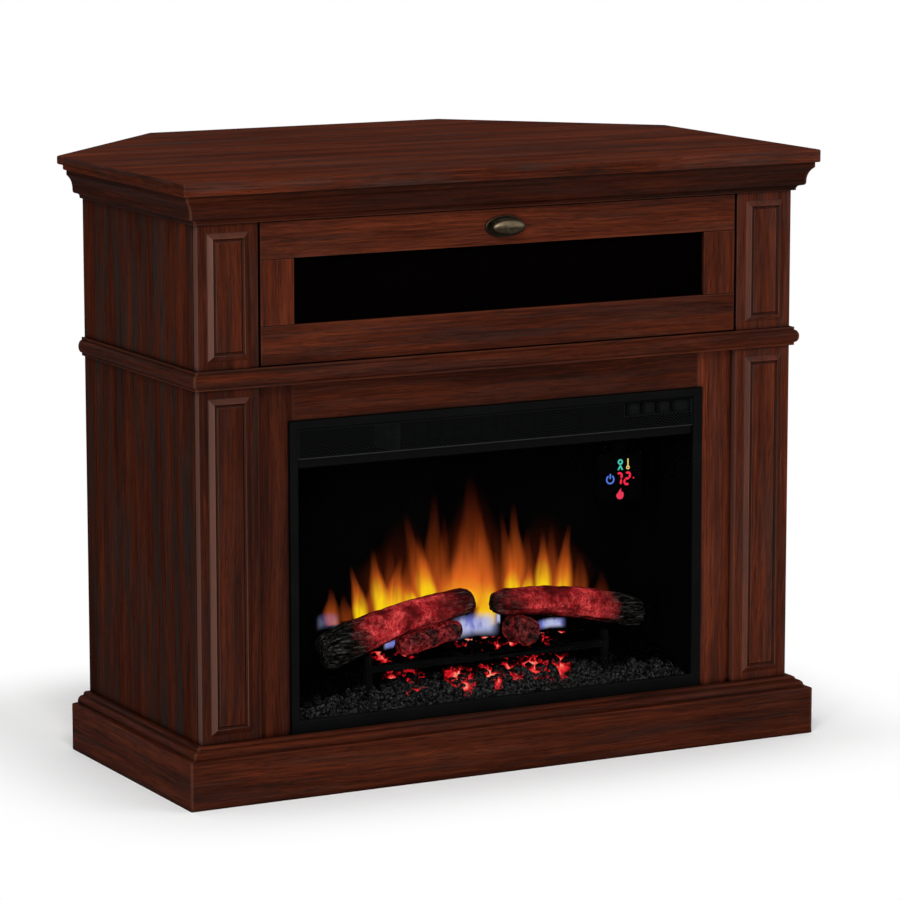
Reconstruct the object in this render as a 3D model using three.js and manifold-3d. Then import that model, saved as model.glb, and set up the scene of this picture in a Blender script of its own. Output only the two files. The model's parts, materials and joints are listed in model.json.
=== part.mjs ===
// Corner electric fireplace cabinet: a wooden mantel with a drop-front media
// door over an electric firebox. Millimetres, +Z up, front towards -Y.
// Everything is drawn with y = 0 on the pilaster fronts; the last group moves
// the origin to the middle of the footprint, on the floor.

import * as THREE from 'three';
import { mergeVertices } from 'three/addons/utils/BufferGeometryUtils.js';
import Module from 'manifold-3d';

const wasm = await Module();
wasm.setup();

// ---------------------------------------------------------------- sizes

// Cabinet
const BODY_WIDTH = 1050;
const BODY_DEPTH = 431;
const PANEL = 18;               // thickness of the cabinet boards
const BACK_PANEL = 12;
const FIT = 0.3;                // assembly gap between two seated pieces
const MITRE_GAP = 0.2;          // each moulding stops this short of its mitre

// Heights of the three tiers, from the floor up
const PLINTH_HEIGHT = 93.5;
const LOWER_HEIGHT = 546;
const WAIST_HEIGHT = 29.5;
const UPPER_HEIGHT = 221.5;
const CROWN_HEIGHT = 46;
const SLAB_THICKNESS = 20.5;

// Pilasters and their raised panels
const PILASTER_WIDTH = 100.5;
const PILASTER_THICKNESS = 14;
const PILASTER_REBATE = 1.5;    // the pilaster edge stands in from the side panel
const RAISED_MARGIN_SIDE = 16;
const RAISED_MARGIN_END = 14;
const RAISED_HEIGHT = 6;
const RAISED_BEVEL = 8;         // width of the bevel round each panel
const RAISED_GROOVE = 2.8;      // flat of the groove inside the bevel
const RAISED_GROOVE_LEVEL = 2.6;
const RAISED_FIELD_LEVEL = 4.6;

// Openings of the rear board
const VENT_WIDTH = 520;
const VENT_ABOVE_BASE = 70;
const VENT_BELOW_SHELF = 120;
const CABLE_HOLE_DIAMETER = 64;
const CABLE_HOLE_SPACING = 300;
const CABLE_HOLE_UP = 148;      // centre above the media shelf

// Top
const SLAB_OVERHANG = 33;
const SLAB_EDGE = 2;            // eased edge of the two top boards
const WEDGE_THICKNESS = 13.5;
const WEDGE_SIDE_RETURN = 23;   // straight edge before the 45 degree corner cut
const WEDGE_BACK_WIDTH = 544;
const GUSSET_SPACING = 520;
const GUSSET_REACH = 250;
const GUSSET_DROP = 170;
const GUSSET_NOSE = 26;         // height of the nose and width of the foot

// Mouldings: how far each step stands out from the body, and its height
const PLINTH_OUT = 31.3;
const PLINTH_BEAD_OUT = 21.5;
const PLINTH_FILLET_OUT = 11.5;
const PLINTH_BOARD = 76;        // flat board under the moulded cap
const PLINTH_BEAD_HEIGHT = 11.5;
const WAIST_FILLET_OUT = 5;
const WAIST_NOSE_OUT = 11;
const WAIST_NOSE_HEIGHT = 20.4;
const CROWN_OUT = 26.8;
const CROWN_FILLET_OUT = 4.7;
const CROWN_STEP_OUT = 16.8;
const CROWN_STEP_HEIGHT = 8.5;
const CROWN_COVE_FOOT = 14;
const CROWN_COVE_HEAD = 37;

// Media door
const DOOR_INSET = 1;           // door face behind the pilaster fronts
const DOOR_SIDE_GAP = 4.5;
const DOOR_FOOT_GAP = 1.5;
const DOOR_HEAD_GAP = 1.4;
const DOOR_THICKNESS = 18;
const DOOR_TOP_RAIL = 57;
const DOOR_BOTTOM_RAIL = 60;
const DOOR_STILE = 56.5;
const GLASS_REBATE = 8;
const GLASS_REBATE_DEPTH = 10;
const DOOR_GLASS_THICKNESS = 4;
const KNOB_WIDTH = 58;
const KNOB_HEIGHT = 25;
const KNOB_REACH = 23;
const BACKPLATE_WIDTH = 68;
const BACKPLATE_HEIGHT = 34;
const BACKPLATE_THICKNESS = 2.5;

// Door hinges and lid stay
const HINGE_SPACING = 600;
const HINGE_CUP_DIAMETER = 35;
const HINGE_CUP_DEPTH = 12;
const HINGE_CUP_HEIGHT = 22.5;  // cup centre above the door foot
const HINGE_PLATE_WIDTH = 50;
const HINGE_PLATE_HEIGHT = 16;
const HINGE_PLATE_THICKNESS = 1.2;
const HINGE_CUP_WALL = 1.5;
const HINGE_CUP_OPENING = 22;
const HINGE_ARM_LENGTH = 62;
const HINGE_ARM_WIDTH = 14;
const HINGE_ARM_HEIGHT = 9;
const HINGE_ARM_GAP = 3.5;      // arm to the back of the door
const STAY_PIVOT_BACK = 30;     // door pivot of the stay, behind the door face
const STAY_PIVOT_UP = 120;      // and above the door foot
const STAY_STUD_BACK = 75;      // stud that the slotted arm slides over
const STAY_STUD_UP = 100;
const STAY_ARM_WIDTH = 16;
const STAY_ARM_THICKNESS = 2;
const STAY_STUD_DIAMETER = 5;
const STAY_SLOT_CLEARANCE = 2.6;
const STAY_OPEN_REACH = 207.2;  // pivot to stud with the door level
const STAY_WALL_OFFSET = 8;     // arm plane to the pilaster edge
const STAY_BRACKET_HEIGHT = 22;
const STAY_WASHER = 0.6;        // arm to the bracket and to the stud's head
const STAY_HEAD = 1.6;          // thickness of the pin and stud heads
const STAY_HEAD_RIM = 2;        // head radius over pin radius
const STUD_BRACKET_WIDTH = 26;
const STUD_BRACKET_HEIGHT = 32;
const BRACKET_STEEL = 2;

// Corner braces of the media shelf
const BRACE_LEG = 30;
const BRACE_WIDTH = 20;
const BRACE_SCREW_DIAMETER = 7;
const BRACE_SCREW_HEAD = 1.4;   // how far a screw head stands off the steel
const BRACE_SCREWS = [10, 23];  // heights over the shelf
const BRACE_FROM_BACK = 8;

// Firebox opening and trim
const TRIM_WIDTH = 735.6;
const TRIM_BOTTOM = 89.8;
const TRIM_TOP = 580.5;
const TRIM_SIDE_FACE = 16.3;
const TRIM_TOP_FACE = 15.4;
const TRIM_BOTTOM_FACE = 21.7;
const TRIM_OVERLAP = 7.8;       // flange laid over the cabinet opening
const TRIM_PROUD = 4;
const TRIM_LIP = 3;
const TRIM_ARRIS = 1.2;         // bevel on the outer edge
const TRIM_SLOPE = 2.5;         // fall of the inner bevel towards the glass

// Firebox
const INSERT_DEPTH = 196;
const SHEET = 2;
const SHEET_CLEARANCE = 1.5;    // housing to cabinet opening
const GRILLE_HEIGHT = 46;
const GRILLE_THICKNESS = 1.5;
const GRILLE_SLOT_LENGTH = 13;
const GRILLE_SLOT_HEIGHT = 6;
const GRILLE_SLOT_PITCH = 17;
const GRILLE_ROWS = 4;
const GRILLE_ROW_SHIFT = 2;     // every second row steps sideways
const GRILLE_END_MARGIN = 8;
const GRILLE_EDGE = 2;
const GLASS_THICKNESS = 4;
const GLASS_BAND = 14;          // painted band of the glass above the view
const GLASS_LAP = 4;            // glass behind the foot of the trim
const CONTROL_LEFT = 226;
const CONTROL_WIDTH = 111;
const CONTROL_HEIGHT = 20;
const CONTROL_DEPTH = 7;
const CONTROL_WALL = 1.2;
const CONTROL_BELOW_HEAD = 2;
const BUTTON_INSET = 1;         // key faces stand in from the grille face
const BUTTON_EDGE = 0.8;
const BUTTON_COUNT = 4;
const BUTTON_PITCH = 27.7;
const BUTTON_FIRST = 232.5;
const BUTTON_WIDTH = 6;
const BUTTON_HEIGHT = 14;
const BUTTON_LENGTH = 12;
const BUTTON_CLEARANCE = 0.4;
const DISPLAY_CENTRE_X = 224;
const DISPLAY_CENTRE_Z = 443;
const DISPLAY_SIZE = 78;
const DISPLAY_THICKNESS = 8;
const DISPLAY_BEHIND_GLASS = 4;
const DISPLAY_HANGER_WIDTH = 24;

// Flame maker and fuel bed
const SCREEN_DISTANCE = 104;    // screen behind the glass
const SCREEN_THICKNESS = 3;
const BED_DEPTH = 96;
const BED_BEHIND_GLASS = 5;
const BED_FLOOR = 6;            // thinnest part of the moulding
const BED_SEAT_GAP = 0.5;       // logs and grate to their seats
const BED_FRONT_HEIGHT = 14;
const BED_BACK_HEIGHT = 92;
const GRATE_BAR = 10;
const GRATE_HEIGHT = 72;
const GRATE_WIDTH = 426;
const GRATE_POST_HEIGHT = 26;
const GRATE_BEHIND_GLASS = 28;
const GRATE_DEPTH = 52;
const GRATE_CROSS_BARS = [-132, -43, 53, 141];

// Logs: the ends of their middle lines, from the middle of the firebox, from
// the back of the glass and from the firebox floor
const LEFT_LOG_OUTER = 278;
const LEFT_LOG_INNER = 22;
const LEFT_LOG_OUTER_UP = 107;
const LEFT_LOG_INNER_UP = 169;
const LEFT_LOG_RADIUS = 35;
const LEFT_LOG_TAPER = 12;
const RIGHT_LOG_INNER = 25;
const RIGHT_LOG_OUTER = 293;
const RIGHT_LOG_INNER_UP = 161;
const RIGHT_LOG_OUTER_UP = 108;
const RIGHT_LOG_RADIUS = 21;
const RIGHT_LOG_BELLY = 6;      // added to the radius near the middle
const RIGHT_LOG_TAPER = 3;
const LOG_OUTER_BACK = 53;
const LOG_INNER_BACK = 62;
const LOG_ARCH = 9.5;           // rise of the middle line between its ends
const LOG_RIDGE = 2.1;          // height of the bark's ridges
const LOG_END_BULGE = 2;
const SEAT_WIDTH = 34;          // moulded seats that carry the logs
const SEAT_DEPTH = 30;
const SEAT_FOOT = 10;

// Small pieces moulded with the coals
const CHUNK_X = 60;
const CHUNK_BACK = 51;
const CHUNK_UP = 108;
const CHUNK_RADIUS = 19;
const CHUNK_TAPER = 2;
const CHUNK_HEIGHT = 46;
const SPLIT_X = -74;
const SPLIT_BACK = 67;
const SPLIT_UP = 114;
const SPLIT_RADIUS = 17;
const SPLIT_TAPER = 2;
const SPLIT_LENGTH = 70;
const SPLIT_TILT = 0.3;
const FOOT_FLOOR = 20;          // feet that join both to the bed
const ROTOR_LENGTH = 600;
const ROTOR_SHAFT = 7;
const ROTOR_BLADE_REACH = 20;
const ROTOR_BLADES = 8;
const ROTOR_BLADE_THICKNESS = 1.2;
const ROTOR_BLADE_FILL = 0.84;  // blade length over blade pitch
const ROTOR_BLADE_TWIST = 0.12;
const ROTOR_BARE_END = 30;      // shaft left bare at each end
const ROTOR_HEIGHT = 44;        // shaft above the firebox floor
const ROTOR_BACK = 26;          // shaft behind the screen
const ROTOR_TAB_IN = 8;         // bearing tab from the end of the shaft
const MOTOR_DIAMETER = 46;
const MOTOR_LENGTH = 20;
const MOTOR_GAP = 1;
const MOTOR_FOOT = 32;
const LIGHT_BAR_WIDTH = 16;
const LIGHT_BAR_HEIGHT = 12;
const LIGHT_BAR_WALL = 2;
const LIGHT_BAR_LENGTH = 560;
const LIGHT_BAR_GAP = 3;        // behind the screen

// Heater
const HEATER_WIDTH = 300;
const HEATER_DEPTH = 120;
const HEATER_BEHIND_FRONT = 12;
const HEATER_WALL = 2;
const HEATER_RIBS = 12;
const HEATER_RIB = 2;
const HEATER_RIB_DEPTH = 12;
const HEATER_RAIL = 4;
const HEATER_RAIL_DEPTH = 16;
const HEATER_INTAKE_MARGIN = 20;
const HEATER_INTAKE_EDGE = 12;
const BLOWER_DIAMETER = 40;
const BLOWER_LENGTH = 220;
const BLOWER_BLADES = 14;
const BLOWER_AXLE = 5;
const BLOWER_BACK = 82;         // axle behind the heater outlet
const BLOWER_DISC = 2;
const BLOWER_BLADE_DEPTH = 6.2;
const BLOWER_PLATE = 3;
const BLOWER_PLATE_GAP = 4.5;   // wheel end to its bearing plate
const BLOWER_PLATE_DEPTH = 52;
const LOUVRES = 4;
const LOUVRE_LENGTH = 280;
const LOUVRE_HEIGHT = 5;
const LOUVRE_PITCH = 11;
const LOUVRE_FOOT = 26;
const GLAND_DIAMETER = 16;
const GLAND_BORE = 8;
const GLAND_FLANGE = 3;
const GLAND_LENGTH = 12;
const GLAND_FROM_SIDE = 60;
const GLAND_UP = 40;

// ------------------------------------------------------ derived positions

const bodyHalf = BODY_WIDTH / 2;
const lowerTop = PLINTH_HEIGHT + LOWER_HEIGHT;
const waistTop = lowerTop + WAIST_HEIGHT;
const crownFoot = waistTop + UPPER_HEIGHT;
const slabFoot = crownFoot + CROWN_HEIGHT;
const totalHeight = slabFoot + SLAB_THICKNESS;
const innerHalf = bodyHalf - PANEL - FIT;
const facePlane = PILASTER_THICKNESS + FIT;
const frameBack = facePlane + PANEL;
const pilasterOuter = bodyHalf - PILASTER_REBATE;
const pilasterInner = pilasterOuter - PILASTER_WIDTH;
const recessHalf = pilasterInner - FIT;
const boardTop = slabFoot - FIT;
const shelfTop = waistTop;
const shelfFoot = shelfTop - PANEL;
const backFace = BODY_DEPTH - BACK_PANEL;
const innerBack = backFace - FIT;

const slabHalf = bodyHalf + SLAB_OVERHANG;
const wedgeFront = BODY_DEPTH + FIT;
const wedgeCorner = BODY_DEPTH + WEDGE_SIDE_RETURN;
const wedgeBack = wedgeCorner + slabHalf - WEDGE_BACK_WIDTH / 2;
const wedgeFoot = totalHeight - WEDGE_THICKNESS;

const doorHalf = pilasterInner - DOOR_SIDE_GAP;
const doorFoot = shelfTop + DOOR_FOOT_GAP;
const doorHead = crownFoot - DOOR_HEAD_GAP;
const doorFace = DOOR_INSET;
const doorBack = doorFace + DOOR_THICKNESS;
const viewFoot = doorFoot + DOOR_BOTTOM_RAIL;
const viewHead = doorHead - DOOR_TOP_RAIL;
const viewHalf = doorHalf - DOOR_STILE;
const rebateFace = doorBack - GLASS_REBATE_DEPTH;

const trimHalf = TRIM_WIDTH / 2;
const trimInnerHalf = trimHalf - TRIM_SIDE_FACE;
const trimInnerFoot = TRIM_BOTTOM + TRIM_BOTTOM_FACE;
const trimInnerHead = TRIM_TOP - TRIM_TOP_FACE;
const openingHalf = trimHalf - TRIM_OVERLAP;
const openingHead = TRIM_TOP - TRIM_OVERLAP;
const hearthTop = TRIM_BOTTOM - FIT;
const trimFront = facePlane - FIT - TRIM_PROUD;
const trimBack = facePlane - FIT;
const housingHalf = openingHalf - SHEET_CLEARANCE;
const housingFoot = hearthTop + FIT;
const housingHead = openingHead - SHEET_CLEARANCE;
const glassFront = trimBack + TRIM_LIP + FIT;
const glassBack = glassFront + GLASS_THICKNESS;
const housingFront = glassBack + FIT;
const housingBack = housingFront + INSERT_DEPTH;
const grilleFoot = trimInnerHead - GRILLE_HEIGHT;
const glassHead = grilleFoot - FIT;
const glassFoot = trimInnerFoot - GLASS_LAP;
const chamberFoot = glassHead - GLASS_BAND;
const fireFloor = housingFoot + SHEET;
const fireHalf = housingHalf - SHEET;
const screenFront = glassBack + SCREEN_DISTANCE;
const screenBack = screenFront + SCREEN_THICKNESS;
const rotorY = screenBack + ROTOR_BACK;
const rotorZ = fireFloor + ROTOR_HEIGHT;

// ------------------------------------------------------------- materials

function finish(color, roughness, metalness = 0) {
  return new THREE.MeshStandardMaterial({ color, roughness, metalness });
}
const cherry = () => finish(0x4a1d12, 0.45);
const cherryDark = () => finish(0x35130c, 0.55);
const board = () => finish(0x6b4a35, 0.8);
const black = () => finish(0x101112, 0.5, 0.3);
const darkGlass = () => finish(0x0a0a0b, 0.05);
const steel = () => finish(0xb0b2b4, 0.35, 0.9);
const zinc = () => finish(0xc8c9c6, 0.4, 0.8);
const brass = () => finish(0x5a4420, 0.4, 0.9);
const bark = () => finish(0x4a4540, 0.95);
const ember = () => finish(0xa02010, 0.9);
const smokedGlass = () => finish(0x202020, 0.3);

// --------------------------------------------------------------- helpers

const cabinet = new THREE.Group();

// Leaves only the positions, joins equal points and turns the faces outward.
function closed(geometry) {
  const bare = geometry.clone();
  bare.deleteAttribute('normal');
  bare.deleteAttribute('uv');
  const merged = mergeVertices(bare, 1e-4);
  const p = merged.attributes.position;
  const index = merged.index.array;
  const [a, b, c] = [new THREE.Vector3(), new THREE.Vector3(), new THREE.Vector3()];
  let volume = 0;
  for (let i = 0; i < index.length; i += 3) {
    a.fromBufferAttribute(p, index[i]);
    b.fromBufferAttribute(p, index[i + 1]);
    c.fromBufferAttribute(p, index[i + 2]);
    volume += a.dot(b.cross(c));
  }
  if (volume < 0) {
    for (let i = 0; i < index.length; i += 3) {
      [index[i], index[i + 1]] = [index[i + 1], index[i]];
    }
  }
  return merged;
}

// A manifold solid for joining and cutting.
function solid(geometry) {
  const g = closed(geometry);
  const vertProperties = Float32Array.from(g.attributes.position.array);
  const triVerts = Uint32Array.from(g.index.array);
  return new wasm.Manifold(new wasm.Mesh({ numProp: 3, vertProperties, triVerts }));
}

function geometryOf(manifold) {
  const mesh = manifold.getMesh();
  const geometry = new THREE.BufferGeometry();
  geometry.setAttribute('position', new THREE.BufferAttribute(mesh.vertProperties, 3));
  geometry.setIndex(new THREE.BufferAttribute(mesh.triVerts, 1));
  return geometry;
}

function add(name, shape, material, parent = cabinet) {
  const geometry = shape.isBufferGeometry ? closed(shape) : geometryOf(shape);
  const mesh = new THREE.Mesh(geometry, material);
  mesh.name = name;
  parent.add(mesh);
  return mesh;
}

function box(x0, x1, y0, y1, z0, z1) {
  const geometry = new THREE.BoxGeometry(x1 - x0, y1 - y0, z1 - z0);
  return geometry.translate((x0 + x1) / 2, (y0 + y1) / 2, (z0 + z1) / 2);
}

function outline(points) {
  return new THREE.Shape(points.map(([u, v]) => new THREE.Vector2(u, v)));
}

// Plan outline (x, y) raised from z0 to z1, with eased edges if asked.
function raise(shape, z0, z1, ease = 0) {
  const geometry = new THREE.ExtrudeGeometry(shape, {
    depth: z1 - z0 - 2 * ease,
    bevelEnabled: ease > 0,
    bevelThickness: ease,
    bevelSize: ease,
    bevelOffset: -ease,
    bevelSegments: 2,
    curveSegments: 10,
  });
  return geometry.translate(0, 0, z0 + ease);
}

// Side outline (y, z) carried from x0 to x1.
function carryAlongX(shape, x0, x1, curveSegments = 10) {
  const geometry = new THREE.ExtrudeGeometry(shape, {
    depth: x1 - x0, bevelEnabled: false, curveSegments,
  });
  const p = geometry.attributes.position;
  for (let i = 0; i < p.count; i += 1) {
    p.setXYZ(i, x0 + p.getZ(i), p.getX(i), p.getY(i));
  }
  return geometry;
}

// Front outline (x, z) carried from y0 to y1.
function carryAlongY(shape, y0, y1, curveSegments = 10) {
  const geometry = new THREE.ExtrudeGeometry(shape, {
    depth: y1 - y0, bevelEnabled: false, curveSegments,
  });
  const p = geometry.attributes.position;
  for (let i = 0; i < p.count; i += 1) {
    p.setXYZ(i, p.getX(i), y0 + p.getZ(i), p.getY(i));
  }
  return geometry;
}

function rodAlongX(radius, x0, x1, y, z, sides = 16) {
  const geometry = new THREE.CylinderGeometry(radius, radius, x1 - x0, sides);
  return geometry.rotateZ(Math.PI / 2).translate((x0 + x1) / 2, y, z);
}

function rodAlongY(radius, y0, y1, x, z, sides = 16) {
  const geometry = new THREE.CylinderGeometry(radius, radius, y1 - y0, sides);
  return geometry.translate(x, (y0 + y1) / 2, z);
}

// A moulding profile (out, z) carried across the front, mitred at both ends.
function frontMoulding(shape) {
  const geometry = new THREE.ExtrudeGeometry(shape, {
    depth: 1, bevelEnabled: false, curveSegments: 6,
  });
  const p = geometry.attributes.position;
  for (let i = 0; i < p.count; i += 1) {
    const out = p.getX(i);
    const side = p.getZ(i) * 2 - 1;
    p.setXYZ(i, side * (bodyHalf + out - MITRE_GAP), -out, p.getY(i));
  }
  return geometry;
}

// The same profile along one side (side = -1 left, 1 right), mitred in front.
function sideMoulding(shape, side) {
  const geometry = new THREE.ExtrudeGeometry(shape, {
    depth: 1, bevelEnabled: false, curveSegments: 6,
  });
  const p = geometry.attributes.position;
  for (let i = 0; i < p.count; i += 1) {
    const out = p.getX(i);
    const y = p.getZ(i) > 0.5 ? BODY_DEPTH : -out + MITRE_GAP;
    p.setXYZ(i, side * (bodyHalf + out), y, p.getY(i));
  }
  return geometry;
}

// Nested rectangles in the plane y = face, each given as [inset, rise]
// towards the front, closed by a flat field.
function raisedField(x0, x1, z0, z1, face, steps) {
  const points = [];
  for (const [inset, rise] of steps) {
    for (const [x, z] of [[x0 + inset, z0 + inset], [x1 - inset, z0 + inset],
      [x1 - inset, z1 - inset], [x0 + inset, z1 - inset]]) {
      points.push(x, face - rise, z);
    }
  }
  const index = [0, 2, 1, 0, 3, 2];
  for (let k = 0; k + 1 < steps.length; k += 1) {
    for (let i = 0; i < 4; i += 1) {
      const [a, b] = [4 * k + i, 4 * k + (i + 1) % 4];
      index.push(a, b, b + 4, a, b + 4, a + 4);
    }
  }
  const last = 4 * (steps.length - 1);
  index.push(last, last + 1, last + 2, last, last + 2, last + 3);
  const geometry = new THREE.BufferGeometry();
  geometry.setAttribute('position', new THREE.Float32BufferAttribute(points, 3));
  geometry.setIndex(index);
  return geometry;
}

// A mitred frame between two rectangles; the section is a closed list of
// [share, y], with share 0 on the outer rectangle and 1 on the inner one.
function mitredFrame(outer, inner, section) {
  const points = [];
  for (const [share, y] of section) {
    const [x0, x1, z0, z1] = outer.map((v, i) => v + (inner[i] - v) * share);
    points.push(x0, y, z0, x1, y, z0, x1, y, z1, x0, y, z1);
  }
  const index = [];
  for (let k = 0; k < section.length; k += 1) {
    const next = (k + 1) % section.length;
    for (let i = 0; i < 4; i += 1) {
      const j = (i + 1) % 4;
      const [a, b, c, d] = [4 * k + i, 4 * k + j, 4 * next + j, 4 * next + i];
      index.push(a, b, c, a, c, d);
    }
  }
  const geometry = new THREE.BufferGeometry();
  geometry.setAttribute('position', new THREE.Float32BufferAttribute(points, 3));
  geometry.setIndex(index);
  return geometry;
}

// ---------------------------------------------------------------- top

function buildTop() {
  const slab = outline([
    [-slabHalf, -SLAB_OVERHANG], [slabHalf, -SLAB_OVERHANG],
    [slabHalf, BODY_DEPTH], [-slabHalf, BODY_DEPTH],
  ]);
  add('top_slab', raise(slab, slabFoot, totalHeight, SLAB_EDGE), cherry());

  const backHalf = WEDGE_BACK_WIDTH / 2;
  const wedge = outline([
    [-slabHalf, wedgeFront], [slabHalf, wedgeFront], [slabHalf, wedgeCorner],
    [backHalf, wedgeBack], [-backHalf, wedgeBack], [-slabHalf, wedgeCorner],
  ]);
  add('corner_wedge', raise(wedge, wedgeFoot, totalHeight, SLAB_EDGE), cherry());

  const top = wedgeFoot - FIT;
  const gusset = new THREE.Shape();
  gusset.moveTo(BODY_DEPTH + FIT, top);
  gusset.lineTo(BODY_DEPTH + GUSSET_REACH, top);
  gusset.lineTo(BODY_DEPTH + GUSSET_REACH, top - GUSSET_NOSE);
  gusset.quadraticCurveTo(
    BODY_DEPTH + GUSSET_NOSE * 2, top - GUSSET_NOSE * 2,
    BODY_DEPTH + GUSSET_NOSE, top - GUSSET_DROP,
  );
  gusset.lineTo(BODY_DEPTH + FIT, top - GUSSET_DROP);
  for (const [name, side] of [['left', -1], ['right', 1]]) {
    const x = side * GUSSET_SPACING / 2;
    const plate = carryAlongX(gusset, x - PANEL / 2, x + PANEL / 2);
    add(`wedge_gusset_${name}`, plate, cherryDark());
  }
}

// ----------------------------------------------------------- mouldings

// Small cove, step, large cove and top fillet.
function crownProfile() {
  const step = crownFoot + CROWN_STEP_HEIGHT;
  const coveFoot = crownFoot + CROWN_COVE_FOOT;
  const coveHead = crownFoot + CROWN_COVE_HEAD;
  const coveBend = coveHead - (coveHead - coveFoot) / 3;
  const shape = new THREE.Shape();
  shape.moveTo(FIT, crownFoot);
  shape.lineTo(CROWN_FILLET_OUT, crownFoot);
  shape.quadraticCurveTo(CROWN_FILLET_OUT, step - 2, CROWN_FILLET_OUT + 4.3, step - 1);
  shape.lineTo(CROWN_STEP_OUT - 3.3, step);
  shape.quadraticCurveTo(CROWN_STEP_OUT, step + 1, CROWN_STEP_OUT, coveFoot);
  shape.quadraticCurveTo(CROWN_STEP_OUT, coveBend, CROWN_OUT - 1, coveHead);
  shape.lineTo(CROWN_OUT, coveHead + 1);
  shape.lineTo(CROWN_OUT, boardTop);
  shape.lineTo(FIT, boardTop);
  return shape;
}

// Bullnose between two fillets.
function waistProfile() {
  const nose = WAIST_NOSE_OUT - WAIST_FILLET_OUT;
  const middle = (lowerTop + waistTop) / 2;
  const half = WAIST_NOSE_HEIGHT / 2;
  const shape = new THREE.Shape();
  shape.moveTo(FIT, lowerTop);
  shape.lineTo(WAIST_FILLET_OUT, lowerTop);
  shape.lineTo(WAIST_FILLET_OUT, middle - half);
  shape.absellipse(WAIST_FILLET_OUT, middle, nose, half, -Math.PI / 2, Math.PI / 2, false);
  shape.lineTo(WAIST_FILLET_OUT, waistTop);
  shape.lineTo(FIT, waistTop);
  return shape;
}

// Flat board under a moulded cap: two rounded steps.
function plinthProfile() {
  const beadTop = PLINTH_BOARD + PLINTH_BEAD_HEIGHT;
  const shape = new THREE.Shape();
  shape.moveTo(FIT, 0);
  shape.lineTo(PLINTH_OUT, 0);
  shape.lineTo(PLINTH_OUT, PLINTH_BOARD - 2.5);
  shape.quadraticCurveTo(PLINTH_OUT, PLINTH_BOARD, PLINTH_OUT - 2.5, PLINTH_BOARD);
  shape.lineTo(PLINTH_BEAD_OUT, PLINTH_BOARD + 0.7);
  shape.quadraticCurveTo(PLINTH_BEAD_OUT, beadTop - 1, PLINTH_BEAD_OUT - 7.5, beadTop);
  shape.lineTo(PLINTH_FILLET_OUT, beadTop + 0.5);
  shape.quadraticCurveTo(
    PLINTH_FILLET_OUT, PLINTH_HEIGHT - 0.8, PLINTH_FILLET_OUT - 5, PLINTH_HEIGHT,
  );
  shape.lineTo(FIT, PLINTH_HEIGHT);
  return shape;
}

function buildMouldings() {
  for (const [name, profile] of [
    ['crown', crownProfile], ['waist', waistProfile], ['plinth', plinthProfile]]) {
    add(`${name}_front`, frontMoulding(profile()), cherry());
    add(`${name}_left`, sideMoulding(profile(), -1), cherry());
    add(`${name}_right`, sideMoulding(profile(), 1), cherry());
  }
}

// ------------------------------------------------------------- carcass

// Two raised panels, worked in the face of each full-height pilaster.
function buildPilaster(name, side) {
  const x0 = side < 0 ? -pilasterOuter : pilasterInner;
  const x1 = x0 + PILASTER_WIDTH;
  const left = x0 + RAISED_MARGIN_SIDE;
  const right = x1 - RAISED_MARGIN_SIDE;
  const groove = RAISED_BEVEL + 1.6;
  const steps = [
    [0, -1], [0, 0.8], [RAISED_BEVEL, RAISED_HEIGHT], [RAISED_BEVEL + 0.8, RAISED_HEIGHT],
    [groove, RAISED_GROOVE_LEVEL], [groove + RAISED_GROOVE, RAISED_GROOVE_LEVEL],
    [groove + RAISED_GROOVE + 1, RAISED_FIELD_LEVEL],
    [groove + RAISED_GROOVE + 2.6, RAISED_FIELD_LEVEL],
  ];
  let pilaster = solid(box(x0, x1, 0, PILASTER_THICKNESS, 0, boardTop));
  for (const [foot, head] of [[PLINTH_HEIGHT, lowerTop], [waistTop, crownFoot]]) {
    const field = raisedField(
      left, right, foot + RAISED_MARGIN_END, head - RAISED_MARGIN_END, 0, steps,
    );
    pilaster = pilaster.add(solid(field));
  }
  add(`pilaster_${name}`, pilaster, cherry());
}

// A board that fills the recess between the pilasters and widens behind them.
function steppedBoard(frontHalf, backHalf, y1, z0, z1) {
  return raise(outline([
    [-frontHalf, 0], [frontHalf, 0], [frontHalf, facePlane], [backHalf, facePlane],
    [backHalf, y1], [-backHalf, y1], [-backHalf, facePlane], [-frontHalf, facePlane],
  ]), z0, z1);
}

function buildCarcass() {
  for (const [name, side] of [['left', -1], ['right', 1]]) {
    const outer = side * bodyHalf;
    const inner = side * (bodyHalf - PANEL);
    add(`side_panel_${name}`, box(Math.min(outer, inner), Math.max(outer, inner),
      facePlane, BODY_DEPTH, 0, boardTop), cherry());
    buildPilaster(name, side);
    const a = side * innerHalf;
    const b = side * openingHalf;
    add(`surround_stile_${name}`, box(Math.min(a, b), Math.max(a, b),
      facePlane, frameBack, 0, shelfFoot - FIT), cherry());
  }
  const railHalf = openingHalf - FIT;
  add('surround_rail', box(-railHalf, railHalf, facePlane, frameBack,
    openingHead, shelfFoot - FIT), cherry());
  const bottomRail = steppedBoard(recessHalf, railHalf, frameBack, 0, hearthTop);
  add('bottom_rail', bottomRail, cherry());
  add('base_panel', box(-innerHalf, innerHalf, frameBack + FIT, innerBack,
    hearthTop - PANEL, hearthTop), board());
  const shelf = steppedBoard(recessHalf, innerHalf, innerBack, shelfFoot, shelfTop);
  add('media_shelf', shelf, cherry());
  add('head_rail', box(-recessHalf, recessHalf, 0, PANEL, crownFoot, boardTop), cherry());
  buildBackPanel();
}

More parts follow.
